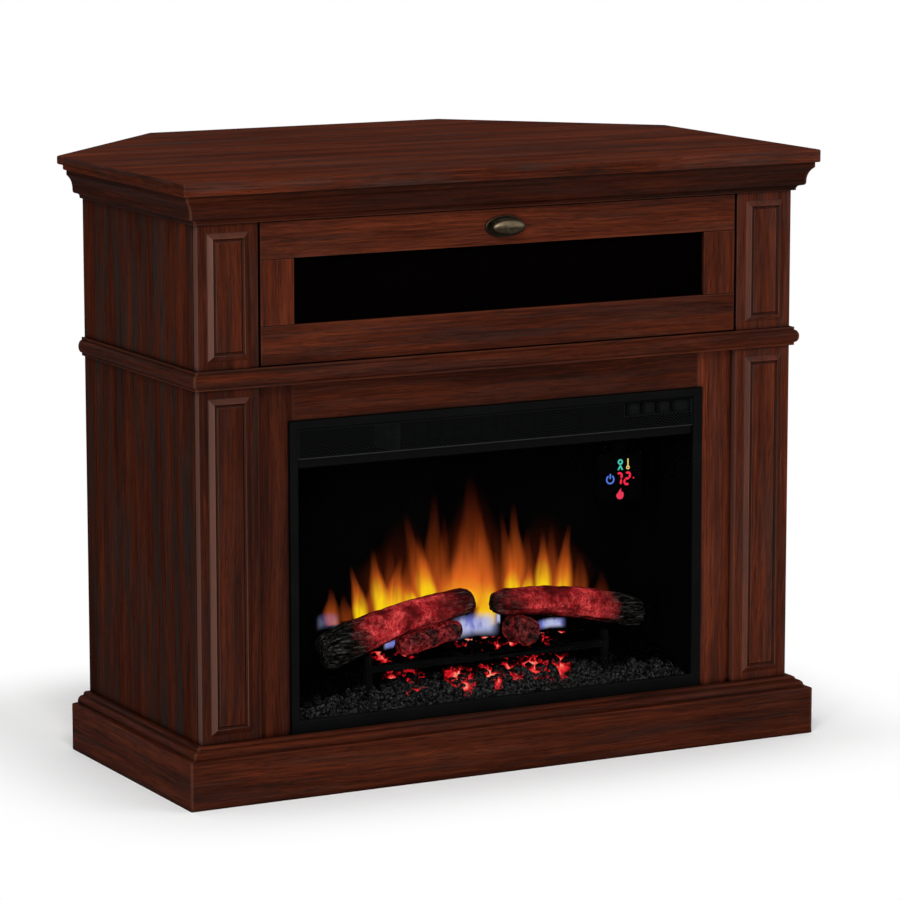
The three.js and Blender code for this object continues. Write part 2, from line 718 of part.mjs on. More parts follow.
// Rear board, open behind the firebox and with two cable holes above it.
function buildBackPanel() {
  const shape = outline([
    [-innerHalf, 0], [innerHalf, 0], [innerHalf, boardTop], [-innerHalf, boardTop],
  ]);
  const ventHalf = VENT_WIDTH / 2;
  const ventFoot = hearthTop + VENT_ABOVE_BASE;
  const ventHead = shelfFoot - VENT_BELOW_SHELF;
  shape.holes.push(outline([
    [-ventHalf, ventFoot], [ventHalf, ventFoot], [ventHalf, ventHead], [-ventHalf, ventHead],
  ]));
  for (const side of [-1, 1]) {
    const hole = new THREE.Path();
    const x = (side * CABLE_HOLE_SPACING) / 2;
    hole.absarc(x, shelfTop + CABLE_HOLE_UP, CABLE_HOLE_DIAMETER / 2, 0, 2 * Math.PI, true);
    shape.holes.push(hole);
  }
  add('back_panel', carryAlongY(shape, backFace, BODY_DEPTH, 6), board());
}

// Steel angles with two screws in the rear corners of the media shelf.
function buildCornerBraces() {
  const y0 = innerBack - BRACE_FROM_BACK - BRACE_WIDTH;
  const foot = shelfTop + FIT;
  for (const [name, side] of [['left', -1], ['right', 1]]) {
    const wall = side * innerHalf;
    const steelFace = wall - side * BRACKET_STEEL;
    const legEnd = wall - side * BRACE_LEG;
    const angle = outline([
      [wall, foot], [wall, foot + BRACE_LEG], [steelFace, foot + BRACE_LEG],
      [steelFace, foot + BRACKET_STEEL], [legEnd, foot + BRACKET_STEEL], [legEnd, foot],
    ]);
    let brace = solid(carryAlongY(angle, y0, y0 + BRACE_WIDTH));
    const headEnds = [steelFace + side, steelFace - side * BRACE_SCREW_HEAD];
    for (const height of BRACE_SCREWS) {
      const head = rodAlongX(BRACE_SCREW_DIAMETER / 2, Math.min(...headEnds),
        Math.max(...headEnds), y0 + BRACE_WIDTH / 2, foot + height, 10);
      brace = brace.add(solid(head));
    }
    add(`corner_brace_${name}`, brace, zinc());
  }
}

// ---------------------------------------------------------- media door

function buildDoor() {
  const rebate = solid(box(-viewHalf - GLASS_REBATE, viewHalf + GLASS_REBATE,
    rebateFace, doorBack + 1, viewFoot - GLASS_REBATE, viewHead + GLASS_REBATE));
  const cupY = doorBack - HINGE_CUP_DEPTH;
  let cups = null;
  for (const side of [-1, 1]) {
    const cup = solid(rodAlongY(HINGE_CUP_DIAMETER / 2 + FIT, cupY - FIT, doorBack + 1,
      (side * HINGE_SPACING) / 2, doorFoot + HINGE_CUP_HEIGHT, 20));
    cups = cups ? cups.add(cup) : cup;
  }
  const topRail = solid(box(-doorHalf, doorHalf, doorFace, doorBack, viewHead, doorHead));
  const bottomRail = solid(box(-doorHalf, doorHalf, doorFace, doorBack, doorFoot, viewFoot));
  add('door_top_rail', topRail.subtract(rebate), cherry());
  add('door_bottom_rail', bottomRail.subtract(rebate).subtract(cups), cherry());
  for (const [name, side] of [['left', -1], ['right', 1]]) {
    const a = side * doorHalf;
    const b = side * viewHalf;
    const stile = solid(box(Math.min(a, b), Math.max(a, b), doorFace, doorBack,
      viewFoot + FIT, viewHead - FIT));
    add(`door_stile_${name}`, stile.subtract(rebate), cherry());
  }
  const half = viewHalf + GLASS_REBATE - FIT;
  const paneFace = rebateFace + FIT;
  add('door_glass', box(-half, half, paneFace, paneFace + DOOR_GLASS_THICKNESS,
    viewFoot - GLASS_REBATE + FIT, viewHead + GLASS_REBATE - FIT), darkGlass());
  buildKnob();
  buildHinges();
  buildStay();
}

// Oval pull: a turned mushroom knob stretched sideways, on an oval plate.
function buildKnob() {
  const z = (viewHead + doorHead) / 2;
  const turned = new THREE.LatheGeometry([
    new THREE.Vector2(0, 0), new THREE.Vector2(0.42, 0), new THREE.Vector2(0.34, 0.3),
    new THREE.Vector2(0.4, 0.42), new THREE.Vector2(0.86, 0.5), new THREE.Vector2(1, 0.62),
    new THREE.Vector2(0.93, 0.78), new THREE.Vector2(0.7, 0.91), new THREE.Vector2(0.38, 0.98),
    new THREE.Vector2(0, 1),
  ], 24);
  turned.scale(KNOB_WIDTH / 2, KNOB_REACH, KNOB_HEIGHT / 2).rotateX(Math.PI);
  turned.translate(0, doorFace - FIT - BACKPLATE_THICKNESS / 2, z);
  const plate = new THREE.LatheGeometry([
    new THREE.Vector2(0, 0), new THREE.Vector2(1, 0), new THREE.Vector2(1, 0.35),
    new THREE.Vector2(0.86, 1), new THREE.Vector2(0, 1),
  ], 28);
  plate.scale(BACKPLATE_WIDTH / 2, BACKPLATE_THICKNESS, BACKPLATE_HEIGHT / 2).rotateX(Math.PI);
  plate.translate(0, doorFace - FIT, z);
  add('door_knob', solid(turned).add(solid(plate)), brass());
}

// Concealed hinges: a cup sunk in the bottom rail, an arm on the shelf.
function buildHinges() {
  const cupZ = doorFoot + HINGE_CUP_HEIGHT;
  for (const [name, side] of [['left', -1], ['right', 1]]) {
    const x = side * HINGE_SPACING / 2;
    const cup = solid(rodAlongY(HINGE_CUP_DIAMETER / 2, doorBack - HINGE_CUP_DEPTH,
      doorBack + FIT + HINGE_PLATE_THICKNESS, x, cupZ, 20));
    const plate = solid(box(x - HINGE_PLATE_WIDTH / 2, x + HINGE_PLATE_WIDTH / 2,
      doorBack + FIT, doorBack + FIT + HINGE_PLATE_THICKNESS,
      cupZ - HINGE_PLATE_HEIGHT / 2, cupZ + HINGE_PLATE_HEIGHT / 2));
    const half = HINGE_CUP_OPENING / 2;
    const hollow = solid(box(x - half, x + half, doorBack - HINGE_CUP_DEPTH + HINGE_CUP_WALL,
      doorBack + HINGE_ARM_GAP, cupZ - half, cupZ + half));
    add(`hinge_cup_${name}`, cup.add(plate).subtract(hollow), zinc());

    const front = doorBack + HINGE_ARM_GAP;
    const foot = shelfTop + FIT;
    const top = foot + HINGE_ARM_HEIGHT;
    const back = front + HINGE_ARM_LENGTH;
    const profile = new THREE.Shape();
    profile.moveTo(front, cupZ - 7);
    profile.lineTo(front + 10, foot + 4);
    profile.lineTo(front + 16, foot);
    profile.lineTo(back, foot);
    profile.lineTo(back, top);
    profile.lineTo(front + HINGE_PLATE_HEIGHT + 10, top + 3);
    profile.quadraticCurveTo(front + 12, top + 7, front, cupZ + 5);
    const armHalf = HINGE_ARM_WIDTH / 2;
    const arm = solid(carryAlongX(profile, x - armHalf, x + armHalf, 5));
    const wingFront = (front + back - HINGE_PLATE_HEIGHT) / 2;
    const wing = solid(box(x - HINGE_PLATE_WIDTH / 2, x + HINGE_PLATE_WIDTH / 2,
      wingFront, wingFront + HINGE_PLATE_HEIGHT, foot, foot + BRACKET_STEEL));
    add(`hinge_arm_${name}`, arm.add(wing), zinc());
  }
}

// Slotted lid stay on the right: the arm turns on the door and slides over a
// stud on the cabinet, and the end of its slot stops the door when it is level.
function buildStay() {
  const armX1 = pilasterInner - STAY_WALL_OFFSET;
  const armX0 = armX1 - STAY_ARM_THICKNESS;
  const pivotY = doorFace + STAY_PIVOT_BACK;
  const pivotZ = doorFoot + STAY_PIVOT_UP;
  const studY = doorFace + STAY_STUD_BACK;
  const studZ = doorFoot + STAY_STUD_UP;
  const closedReach = Math.hypot(studY - pivotY, studZ - pivotZ);
  const tilt = Math.atan2(studZ - pivotZ, studY - pivotY);
  const half = STAY_ARM_WIDTH / 2;
  const slotHalf = (STAY_STUD_DIAMETER + STAY_SLOT_CLEARANCE) / 2;
  const end = STAY_OPEN_REACH + slotHalf;
  const slotStart = closedReach - 2;

  const shape = new THREE.Shape();
  shape.moveTo(0, -half);
  shape.lineTo(end, -half);
  shape.absarc(end, 0, half, -Math.PI / 2, Math.PI / 2, false);
  shape.lineTo(0, half);
  shape.absarc(0, 0, half, Math.PI / 2, 1.5 * Math.PI, false);
  const slot = new THREE.Path();
  slot.moveTo(slotStart, -slotHalf);
  slot.lineTo(STAY_OPEN_REACH, -slotHalf);
  slot.absarc(STAY_OPEN_REACH, 0, slotHalf, -Math.PI / 2, Math.PI / 2, false);
  slot.lineTo(slotStart, slotHalf);
  slot.absarc(slotStart, 0, slotHalf, Math.PI / 2, 1.5 * Math.PI, false);
  shape.holes.push(slot);
  const eye = new THREE.Path();
  eye.absarc(0, 0, STAY_STUD_DIAMETER / 2 + FIT, 0, 2 * Math.PI, true);
  shape.holes.push(eye);
  const arm = carryAlongX(shape, 0, STAY_ARM_THICKNESS, 6);
  arm.rotateX(tilt).translate(armX0, pivotY, pivotZ);
  add('stay_arm', arm, zinc());

  // Door bracket: a small angle on the back of the door with the pivot pin.
  const pinRadius = STAY_STUD_DIAMETER / 2;
  const headFace = armX0 - STAY_WASHER;
  const leg = armX1 + STAY_WASHER;
  const flangeBack = doorBack + FIT + BRACKET_STEEL;
  const halfHeight = STAY_BRACKET_HEIGHT / 2;
  const doorFlange = solid(box(leg - STAY_BRACKET_HEIGHT, leg + BRACKET_STEEL,
    doorBack + FIT, flangeBack, pivotZ - halfHeight, pivotZ + halfHeight));
  const doorWeb = solid(box(leg, leg + BRACKET_STEEL, doorBack + FIT,
    pivotY + half, pivotZ - halfHeight, pivotZ + halfHeight));
  const pin = solid(rodAlongX(pinRadius, headFace, leg + 1, pivotY, pivotZ, 12));
  const pinHead = solid(rodAlongX(pinRadius + STAY_HEAD_RIM, headFace - STAY_HEAD, headFace,
    pivotY, pivotZ, 12));
  add('stay_door_bracket', doorFlange.add(doorWeb).add(pin).add(pinHead), zinc());

  // Cabinet bracket: an angle on the back of the pilaster with the stud.
  const web = pilasterInner + FIT;
  const flange = solid(box(web, web + STUD_BRACKET_WIDTH, facePlane, facePlane + BRACKET_STEEL,
    studZ - STUD_BRACKET_HEIGHT / 2, studZ + STUD_BRACKET_HEIGHT / 2));
  const bracketWeb = solid(box(web, web + BRACKET_STEEL, facePlane, studY + half,
    studZ - halfHeight, studZ + halfHeight));
  const stud = solid(rodAlongX(pinRadius, headFace, web + 1, studY, studZ, 12));
  const studHead = solid(rodAlongX(pinRadius + STAY_HEAD_RIM, headFace - STAY_HEAD, headFace,
    studY, studZ, 12));
  add('stay_bracket', flange.add(bracketWeb).add(stud).add(studHead), zinc());
}

// -------------------------------------------------------------- firebox

function buildFireboxFront() {
  const outer = [-trimHalf, trimHalf, TRIM_BOTTOM, TRIM_TOP];
  const inner = [-trimInnerHalf, trimInnerHalf, trimInnerFoot, trimInnerHead];
  const lip = trimBack + TRIM_LIP;
  add('insert_frame', mitredFrame(outer, inner, [
    [0, trimBack], [0, trimFront + TRIM_ARRIS], [0.08, trimFront], [0.86, trimFront],
    [1, trimFront + TRIM_SLOPE], [1, lip], [0.88, lip], [0.88, trimBack],
  ]), black());

  const paneHalf = trimInnerHalf + 1;
  add('insert_glass', box(-paneHalf, paneHalf, glassFront, glassBack, glassFoot, glassHead),
    darkGlass());
  buildGrille();
}

// Pierced outlet grille, with a moulded pan at its right end for the buttons.
function buildGrille() {
  const half = trimInnerHalf - FIT;
  const head = trimInnerHead - FIT;
  const y0 = trimBack;
  const y1 = y0 + GRILLE_THICKNESS;
  const panHead = head - CONTROL_BELOW_HEAD;
  const panFoot = panHead - CONTROL_HEIGHT;
  const panRight = CONTROL_LEFT + CONTROL_WIDTH;
  const shape = outline([[-half, grilleFoot], [half, grilleFoot], [half, head], [-half, head]]);
  shape.holes.push(outline([
    [CONTROL_LEFT, panFoot], [panRight, panFoot], [panRight, panHead], [CONTROL_LEFT, panHead]]));

  const columns = Math.floor((half - GRILLE_END_MARGIN) * 2 / GRILLE_SLOT_PITCH);
  const rowPitch = (GRILLE_HEIGHT - 2 * GRILLE_EDGE) / GRILLE_ROWS;
  const slotHalf = GRILLE_SLOT_LENGTH / 2;
  for (let row = 0; row < GRILLE_ROWS; row += 1) {
    const z = grilleFoot + GRILLE_EDGE + rowPitch * (row + 0.5);
    const shift = (row % 2) * GRILLE_ROW_SHIFT;
    for (let column = 0; column < columns; column += 1) {
      const x = (column - (columns - 1) / 2) * GRILLE_SLOT_PITCH + shift;
      const nearPan = x + slotHalf > CONTROL_LEFT - 4 && z + GRILLE_SLOT_HEIGHT > panFoot - 3;
      if (!nearPan && Math.abs(x) + slotHalf < half - GRILLE_EDGE) {
        shape.holes.push(outline([
          [x - slotHalf, z], [x, z - GRILLE_SLOT_HEIGHT / 2],
          [x + slotHalf, z], [x, z + GRILLE_SLOT_HEIGHT / 2]]));
      }
    }
  }
  let grille = solid(carryAlongY(shape, y0, y1));

  const wall = CONTROL_WALL;
  const panBack = y0 + CONTROL_DEPTH;
  const pan = solid(box(CONTROL_LEFT - wall, panRight + wall, y0, panBack,
    panFoot - wall, panHead + wall));
  const panHollow = solid(box(CONTROL_LEFT, panRight, y0 - 1, panBack - wall, panFoot, panHead));
  grille = grille.add(pan.subtract(panHollow));
  const buttonZ = (panFoot + panHead) / 2;
  const keyWide = BUTTON_WIDTH / 2;
  const keyTall = BUTTON_HEIGHT / 2;
  const holeWide = keyWide + BUTTON_CLEARANCE;
  const holeTall = keyTall + BUTTON_CLEARANCE;
  for (let i = 0; i < BUTTON_COUNT; i += 1) {
    const x = BUTTON_FIRST + i * BUTTON_PITCH;
    grille = grille.subtract(solid(box(x - holeWide, x + holeWide, panBack - wall - 1,
      panBack + 1, buttonZ - holeTall, buttonZ + holeTall)));
    const key = raise(outline([
      [-keyWide, -keyTall], [keyWide, -keyTall], [keyWide, keyTall], [-keyWide, keyTall],
    ]), 0, BUTTON_LENGTH, BUTTON_EDGE);
    key.rotateX(Math.PI / 2).translate(x, y0 + BUTTON_INSET + BUTTON_LENGTH, buttonZ);
    add(`control_button_${i + 1}`, key, black());
  }
  add('heater_grille', grille, black());
}

// Folded steel housing: firebox below, heater chamber above, back louvres.
function buildHousing() {
  let shell = solid(box(-housingHalf, housingHalf, housingFront, housingBack,
    housingFoot, housingHead));
  const inner = housingBack - SHEET;
  const firebox = solid(box(-fireHalf, fireHalf, housingFront - 1, inner,
    fireFloor, chamberFoot - SHEET));
  const chamber = solid(box(-fireHalf, fireHalf, housingFront - 1, inner,
    chamberFoot, housingHead - SHEET));
  shell = shell.subtract(firebox).subtract(chamber);
  for (let i = 0; i < LOUVRES; i += 1) {
    const z = chamberFoot + LOUVRE_FOOT + i * LOUVRE_PITCH;
    shell = shell.subtract(solid(box(-LOUVRE_LENGTH / 2, LOUVRE_LENGTH / 2,
      inner - 1, housingBack + 1, z, z + LOUVRE_HEIGHT)));
  }
  const glandX = housingHalf - GLAND_FROM_SIDE;
  const glandZ = fireFloor + GLAND_UP;
  const glandRadius = GLAND_DIAMETER / 2;
  shell = shell.subtract(solid(rodAlongY(glandRadius + FIT, inner - 1, housingBack + 1,
    glandX, glandZ)));
  // Folded tab that carries the free end of the rotor shaft.
  const tabX = -ROTOR_LENGTH / 2 + ROTOR_TAB_IN;
  const tab = solid(box(tabX, tabX + SHEET, rotorY - 14, rotorY + 14,
    fireFloor - 1, rotorZ + 12));
  const bore = solid(rodAlongX(ROTOR_SHAFT / 2 + FIT, tabX - 1, tabX + SHEET + 1,
    rotorY, rotorZ));
  add('insert_housing', shell.add(tab).subtract(bore), steel());

  const glandY = housingBack + FIT;
  const flange = solid(rodAlongY(glandRadius + GLAND_FLANGE, glandY, glandY + GLAND_FLANGE,
    glandX, glandZ));
  const barrel = solid(rodAlongY(glandRadius, inner - 2, glandY + GLAND_LENGTH, glandX, glandZ));
  const passage = solid(rodAlongY(GLAND_BORE / 2, inner - 3, glandY + GLAND_LENGTH + 1,
    glandX, glandZ, 12));
  add('cord_gland', flange.add(barrel).subtract(passage), black());
}

function buildFlameMaker() {
  const screenHalf = fireHalf - FIT;
  add('flame_screen', box(-screenHalf, screenHalf, screenFront, screenBack,
    fireFloor + FIT, chamberFoot - SHEET - FIT), smokedGlass());

  // Shaft with bright flicker blades, turned by a small gear motor.
  const x0 = -ROTOR_LENGTH / 2;
  const x1 = ROTOR_LENGTH / 2;
  let rotor = solid(rodAlongX(ROTOR_SHAFT / 2, x0, x1, 0, 0, 12));
  const bladeStep = (ROTOR_LENGTH - 2 * ROTOR_BARE_END) / ROTOR_BLADES;
  const bladeHalf = (bladeStep * ROTOR_BLADE_FILL) / 2;
  const thin = ROTOR_BLADE_THICKNESS / 2;
  for (let i = 0; i < ROTOR_BLADES; i += 1) {
    const middle = x0 + ROTOR_BARE_END + bladeStep * (i + 0.5);
    const blade = box(-bladeHalf, bladeHalf, -thin, thin, -ROTOR_BLADE_REACH, ROTOR_BLADE_REACH);
    blade.rotateZ(ROTOR_BLADE_TWIST).rotateX((i * Math.PI) / 4 + 0.2).translate(middle, 0, 0);
    rotor = rotor.add(solid(blade));
  }
  const turning = add('flame_rotor', rotor, steel());
  turning.position.set(0, rotorY, rotorZ);

  const motorX = x1 + MOTOR_GAP;
  const can = solid(rodAlongX(MOTOR_DIAMETER / 2, motorX, motorX + MOTOR_LENGTH,
    rotorY, rotorZ, 20));
  const foot = solid(box(motorX + 2, motorX + MOTOR_LENGTH - 2,
    rotorY - MOTOR_FOOT / 2, rotorY + MOTOR_FOOT / 2, fireFloor + FIT, rotorZ));
  add('rotor_motor', can.add(foot), steel());
  buildLightBar();
  buildDisplay();
}

// Aluminium channel with the lamps that light the screen and the embers.
function buildLightBar() {
  const front = screenBack + LIGHT_BAR_GAP;
  const back = front + LIGHT_BAR_WIDTH;
  const foot = fireFloor + FIT;
  const top = foot + LIGHT_BAR_HEIGHT;
  const wall = LIGHT_BAR_WALL;
  const channel = outline([
    [front, foot], [back, foot], [back, top], [back - wall, top], [back - wall, foot + wall],
    [front + wall, foot + wall], [front + wall, top], [front, top],
  ]);
  const bar = carryAlongX(channel, -LIGHT_BAR_LENGTH / 2, LIGHT_BAR_LENGTH / 2);
  add('light_bar', bar, steel());
}

// Display board behind the glass, hung from the plate over the firebox.
function buildDisplay() {
  const face = glassBack + DISPLAY_BEHIND_GLASS;
  const half = DISPLAY_SIZE / 2;
  const middle = face + DISPLAY_THICKNESS / 2;
  const panel = solid(box(DISPLAY_CENTRE_X - half, DISPLAY_CENTRE_X + half, face,
    face + DISPLAY_THICKNESS, DISPLAY_CENTRE_Z - half, DISPLAY_CENTRE_Z + half));
  const hanger = solid(box(DISPLAY_CENTRE_X - DISPLAY_HANGER_WIDTH / 2,
    DISPLAY_CENTRE_X + DISPLAY_HANGER_WIDTH / 2, middle, middle + SHEET,
    DISPLAY_CENTRE_Z, chamberFoot - SHEET - FIT));
  add('display_panel', panel.add(hanger), black());
}

// --------------------------------------------------------- logs and embers

// A log from a to b: rings along the axis, with the radius and the bark
// ridges worked out from the angle and the distance along the log.
function logGeometry(a, b, radiusAt, bendAt, ridge, phase) {
  const rings = 14;
  const sides = 20;
  const axis = new THREE.Vector3().subVectors(b, a);
  const length = axis.length();
  axis.normalize();
  const side = new THREE.Vector3(0, 1, 0).cross(axis).normalize();
  const up = new THREE.Vector3().crossVectors(axis, side);
  const points = [];
  const index = [];
  for (let r = 0; r <= rings; r += 1) {
    const t = r / rings;
    const middle = a.clone().addScaledVector(axis, t * length);
    middle.z += bendAt(t);
    for (let s = 0; s < sides; s += 1) {
      const angle = (2 * Math.PI * s) / sides;
      const knots = Math.sin(5 * angle + phase) * 0.5 + Math.sin(9 * angle + 7 * t + phase) * 0.3
        + Math.sin(17 * t + 3 * angle) * 0.35;
      const radius = radiusAt(t) + ridge * knots;
      const p = middle.clone().addScaledVector(side, radius * Math.cos(angle));
      p.addScaledVector(up, radius * Math.sin(angle));
      points.push(p.x, p.y, p.z);
    }
  }
  for (let r = 0; r < rings; r += 1) {
    for (let s = 0; s < sides; s += 1) {
      const next = (s + 1) % sides;
      const [p, q] = [r * sides + s, r * sides + next];
      index.push(p, q, q + sides, p, q + sides, p + sides);
    }
  }
  for (const [ring, flip] of [[0, true], [rings, false]]) {
    const centre = points.length / 3;
    const t = ring / rings;
    const middle = a.clone().addScaledVector(axis, t * length + (flip ? -LOG_END_BULGE : LOG_END_BULGE));
    points.push(middle.x, middle.y, middle.z + bendAt(t));
    for (let s = 0; s < sides; s += 1) {
      const [p, q] = [ring * sides + s, ring * sides + ((s + 1) % sides)];
      index.push(...(flip ? [centre, q, p] : [centre, p, q]));
    }
  }
  const geometry = new THREE.BufferGeometry();
  geometry.setAttribute('position', new THREE.Float32BufferAttribute(points, 3));
  geometry.setIndex(index);
  return geometry;
}

// Both logs run from low at the outer end to high in the middle; swell gives
// the larger shape that leaves their seats in the coals.
const outerLogY = glassBack + LOG_OUTER_BACK;
const innerLogY = glassBack + LOG_INNER_BACK;
const logArch = (t) => LOG_ARCH * Math.sin(Math.PI * t);
const leftLogStart = new THREE.Vector3(-LEFT_LOG_OUTER, outerLogY, fireFloor + LEFT_LOG_OUTER_UP);
const leftLogEnd = new THREE.Vector3(-LEFT_LOG_INNER, innerLogY, fireFloor + LEFT_LOG_INNER_UP);
const rightLogStart = new THREE.Vector3(RIGHT_LOG_INNER, innerLogY, fireFloor + RIGHT_LOG_INNER_UP);
const rightLogEnd = new THREE.Vector3(RIGHT_LOG_OUTER, outerLogY, fireFloor + RIGHT_LOG_OUTER_UP);
const leftLogRadius = (t) => LEFT_LOG_RADIUS - LEFT_LOG_TAPER * Math.min(1, t * 1.3);
const rightLogRadius = (t) => RIGHT_LOG_RADIUS - RIGHT_LOG_TAPER * t
  + RIGHT_LOG_BELLY * Math.sin(Math.PI * Math.min(1, t * 1.15));

function leftLog(swell) {
  const a = leftLogStart.clone();
  const b = leftLogEnd.clone();
  a.x -= swell;
  b.x += swell;
  return logGeometry(a, b, (t) => leftLogRadius(t) + swell, logArch, LOG_RIDGE, 0.4);
}

function rightLog(swell) {
  const a = rightLogStart.clone();
  const b = rightLogEnd.clone();
  a.x -= swell;
  b.x += swell;
  return logGeometry(a, b, (t) => rightLogRadius(t) + swell, logArch, LOG_RIDGE, 2.1);
}

// Moulded block under a log, a share t along it; the log is cut out later.
function logSeat(a, b, t, radius) {
  const middle = a.clone().lerp(b, t);
  const top = middle.z + logArch(t) - radius / 2;
  return solid(box(middle.x - SEAT_WIDTH / 2, middle.x + SEAT_WIDTH / 2,
    middle.y - SEAT_DEPTH / 2, middle.y + SEAT_DEPTH / 2, fireFloor + SEAT_FOOT, top));
}

// Height of the moulded coals over the firebox floor.
function coalHeight(x, y, front, depth) {
  const back = Math.max(0, (y - front) / depth);
  const rise = BED_FRONT_HEIGHT + (BED_BACK_HEIGHT - BED_FRONT_HEIGHT) * back ** 0.75;
  const wide = 1 - 0.55 * (Math.abs(x) / fireHalf) ** 3;
  const lumps = 7 * Math.sin(x * 0.11 + 1.3 * Math.sin(y * 0.13))
    + 5 * Math.sin(x * 0.19 + y * 0.23 + 0.7) + 4 * Math.sin(y * 0.31 - x * 0.05);
  return Math.max(BED_FLOOR, rise * wide + lumps * (0.35 + 0.65 * Math.min(1, back * 2)));
}

// A slab with a flat foot whose top follows coalHeight on a grid.
function coalBed(x0, x1, y0, y1, columns, rows) {
  const points = [];
  const index = [];
  const foot = fireFloor + FIT;
  for (const layer of [0, 1]) {
    for (let j = 0; j <= rows; j += 1) {
      for (let i = 0; i <= columns; i += 1) {
        const x = x0 + ((x1 - x0) * i) / columns;
        const y = y0 + ((y1 - y0) * j) / rows;
        points.push(x, y, foot + layer * coalHeight(x, y, y0, y1 - y0));
      }
    }
  }
  const at = (i, j, layer) => (layer * (rows + 1) + j) * (columns + 1) + i;
  const quad = (a, b, c, d) => index.push(a, b, c, a, c, d);
  for (let j = 0; j < rows; j += 1) {
    for (let i = 0; i < columns; i += 1) {
      quad(at(i, j, 1), at(i + 1, j, 1), at(i + 1, j + 1, 1), at(i, j + 1, 1));
      quad(at(i, j, 0), at(i, j + 1, 0), at(i + 1, j + 1, 0), at(i + 1, j, 0));
    }
  }
  for (let i = 0; i < columns; i += 1) {
    quad(at(i, 0, 0), at(i + 1, 0, 0), at(i + 1, 0, 1), at(i, 0, 1));
    quad(at(i + 1, rows, 0), at(i, rows, 0), at(i, rows, 1), at(i + 1, rows, 1));
  }
  for (let j = 0; j < rows; j += 1) {
    quad(at(0, j + 1, 0), at(0, j, 0), at(0, j, 1), at(0, j + 1, 1));
    quad(at(columns, j, 0), at(columns, j + 1, 0), at(columns, j + 1, 1), at(columns, j, 1));
  }
  const geometry = new THREE.BufferGeometry();
  geometry.setAttribute('position', new THREE.Float32BufferAttribute(points, 3));
  geometry.setIndex(index);
  return geometry;
}

// Square-bar grate: a front bar on two posts, and cross bars under the logs.
function grateSolid(swell) {
  const y0 = glassBack + GRATE_BEHIND_GLASS;
  const z = fireFloor + GRATE_HEIGHT;
  const half = GRATE_WIDTH / 2;
  const grow = (x0, x1, ya, yb, za, zb) => solid(box(x0 - swell, x1 + swell,
    ya - swell, yb + swell, za - swell, zb + swell));
  let grate = grow(-half, half, y0, y0 + GRATE_BAR, z, z + GRATE_BAR);
  for (const x of [-half, half]) {
    grate = grate.add(grow(x - GRATE_BAR / 2, x + GRATE_BAR / 2, y0, y0 + GRATE_BAR,
      fireFloor + FIT + swell, z + GRATE_POST_HEIGHT));
  }
  for (const x of GRATE_CROSS_BARS) {
    grate = grate.add(grow(x - GRATE_BAR / 2, x + GRATE_BAR / 2,
      y0 + GRATE_BAR / 2, y0 + GRATE_DEPTH, z, z + GRATE_BAR - FIT));
  }
  return grate;
}

function buildFuelBed() {
  const y0 = glassBack + BED_BEHIND_GLASS;
  const half = fireHalf - FIT;
  let bed = solid(coalBed(-half, half, y0, y0 + BED_DEPTH, 44, 10));
  // An upright chunk and a short split log, moulded with the bed.
  const chunkY = glassBack + CHUNK_BACK;
  const chunkHalf = CHUNK_RADIUS - CHUNK_TAPER;
  const chunk = new THREE.CylinderGeometry(CHUNK_RADIUS, chunkHalf, CHUNK_HEIGHT, 14);
  chunk.translate(CHUNK_X, chunkY, fireFloor + CHUNK_UP);
  const chunkFoot = box(CHUNK_X - chunkHalf, CHUNK_X + chunkHalf, chunkY - chunkHalf,
    chunkY + chunkHalf, fireFloor + FOOT_FLOOR, fireFloor + CHUNK_UP - SPLIT_RADIUS / 2);
  const splitY = glassBack + SPLIT_BACK;
  const splitHalf = SPLIT_RADIUS - SPLIT_TAPER;
  const split = new THREE.CylinderGeometry(splitHalf, SPLIT_RADIUS, SPLIT_LENGTH, 14);
  split.rotateZ(Math.PI / 2 - SPLIT_TILT).translate(SPLIT_X, splitY, fireFloor + SPLIT_UP);
  const splitFoot = box(SPLIT_X - splitHalf * 2, SPLIT_X + splitHalf * 2, splitY - splitHalf,
    splitY + splitHalf, fireFloor + FOOT_FLOOR, fireFloor + SPLIT_UP - splitHalf / 2);
  for (const piece of [chunk, chunkFoot, split, splitFoot]) {
    bed = bed.add(solid(piece));
  }
  bed = bed.add(logSeat(leftLogStart, leftLogEnd, 0.17, LEFT_LOG_RADIUS));
  bed = bed.add(logSeat(leftLogStart, leftLogEnd, 0.88, LEFT_LOG_RADIUS - LEFT_LOG_TAPER));
  bed = bed.add(logSeat(rightLogStart, rightLogEnd, 0.16, RIGHT_LOG_RADIUS));
  bed = bed.add(logSeat(rightLogStart, rightLogEnd, 0.86, RIGHT_LOG_RADIUS));
  for (const seated of [solid(leftLog(BED_SEAT_GAP)), solid(rightLog(BED_SEAT_GAP)),
    grateSolid(BED_SEAT_GAP)]) {
    bed = bed.subtract(seated);
  }
  add('ember_bed', bed, ember());
  add('log_left', leftLog(0), bark());
  add('log_right', rightLog(0), bark());
  add('grate', grateSolid(0), black());
}

// --------------------------------------------------------------- heater

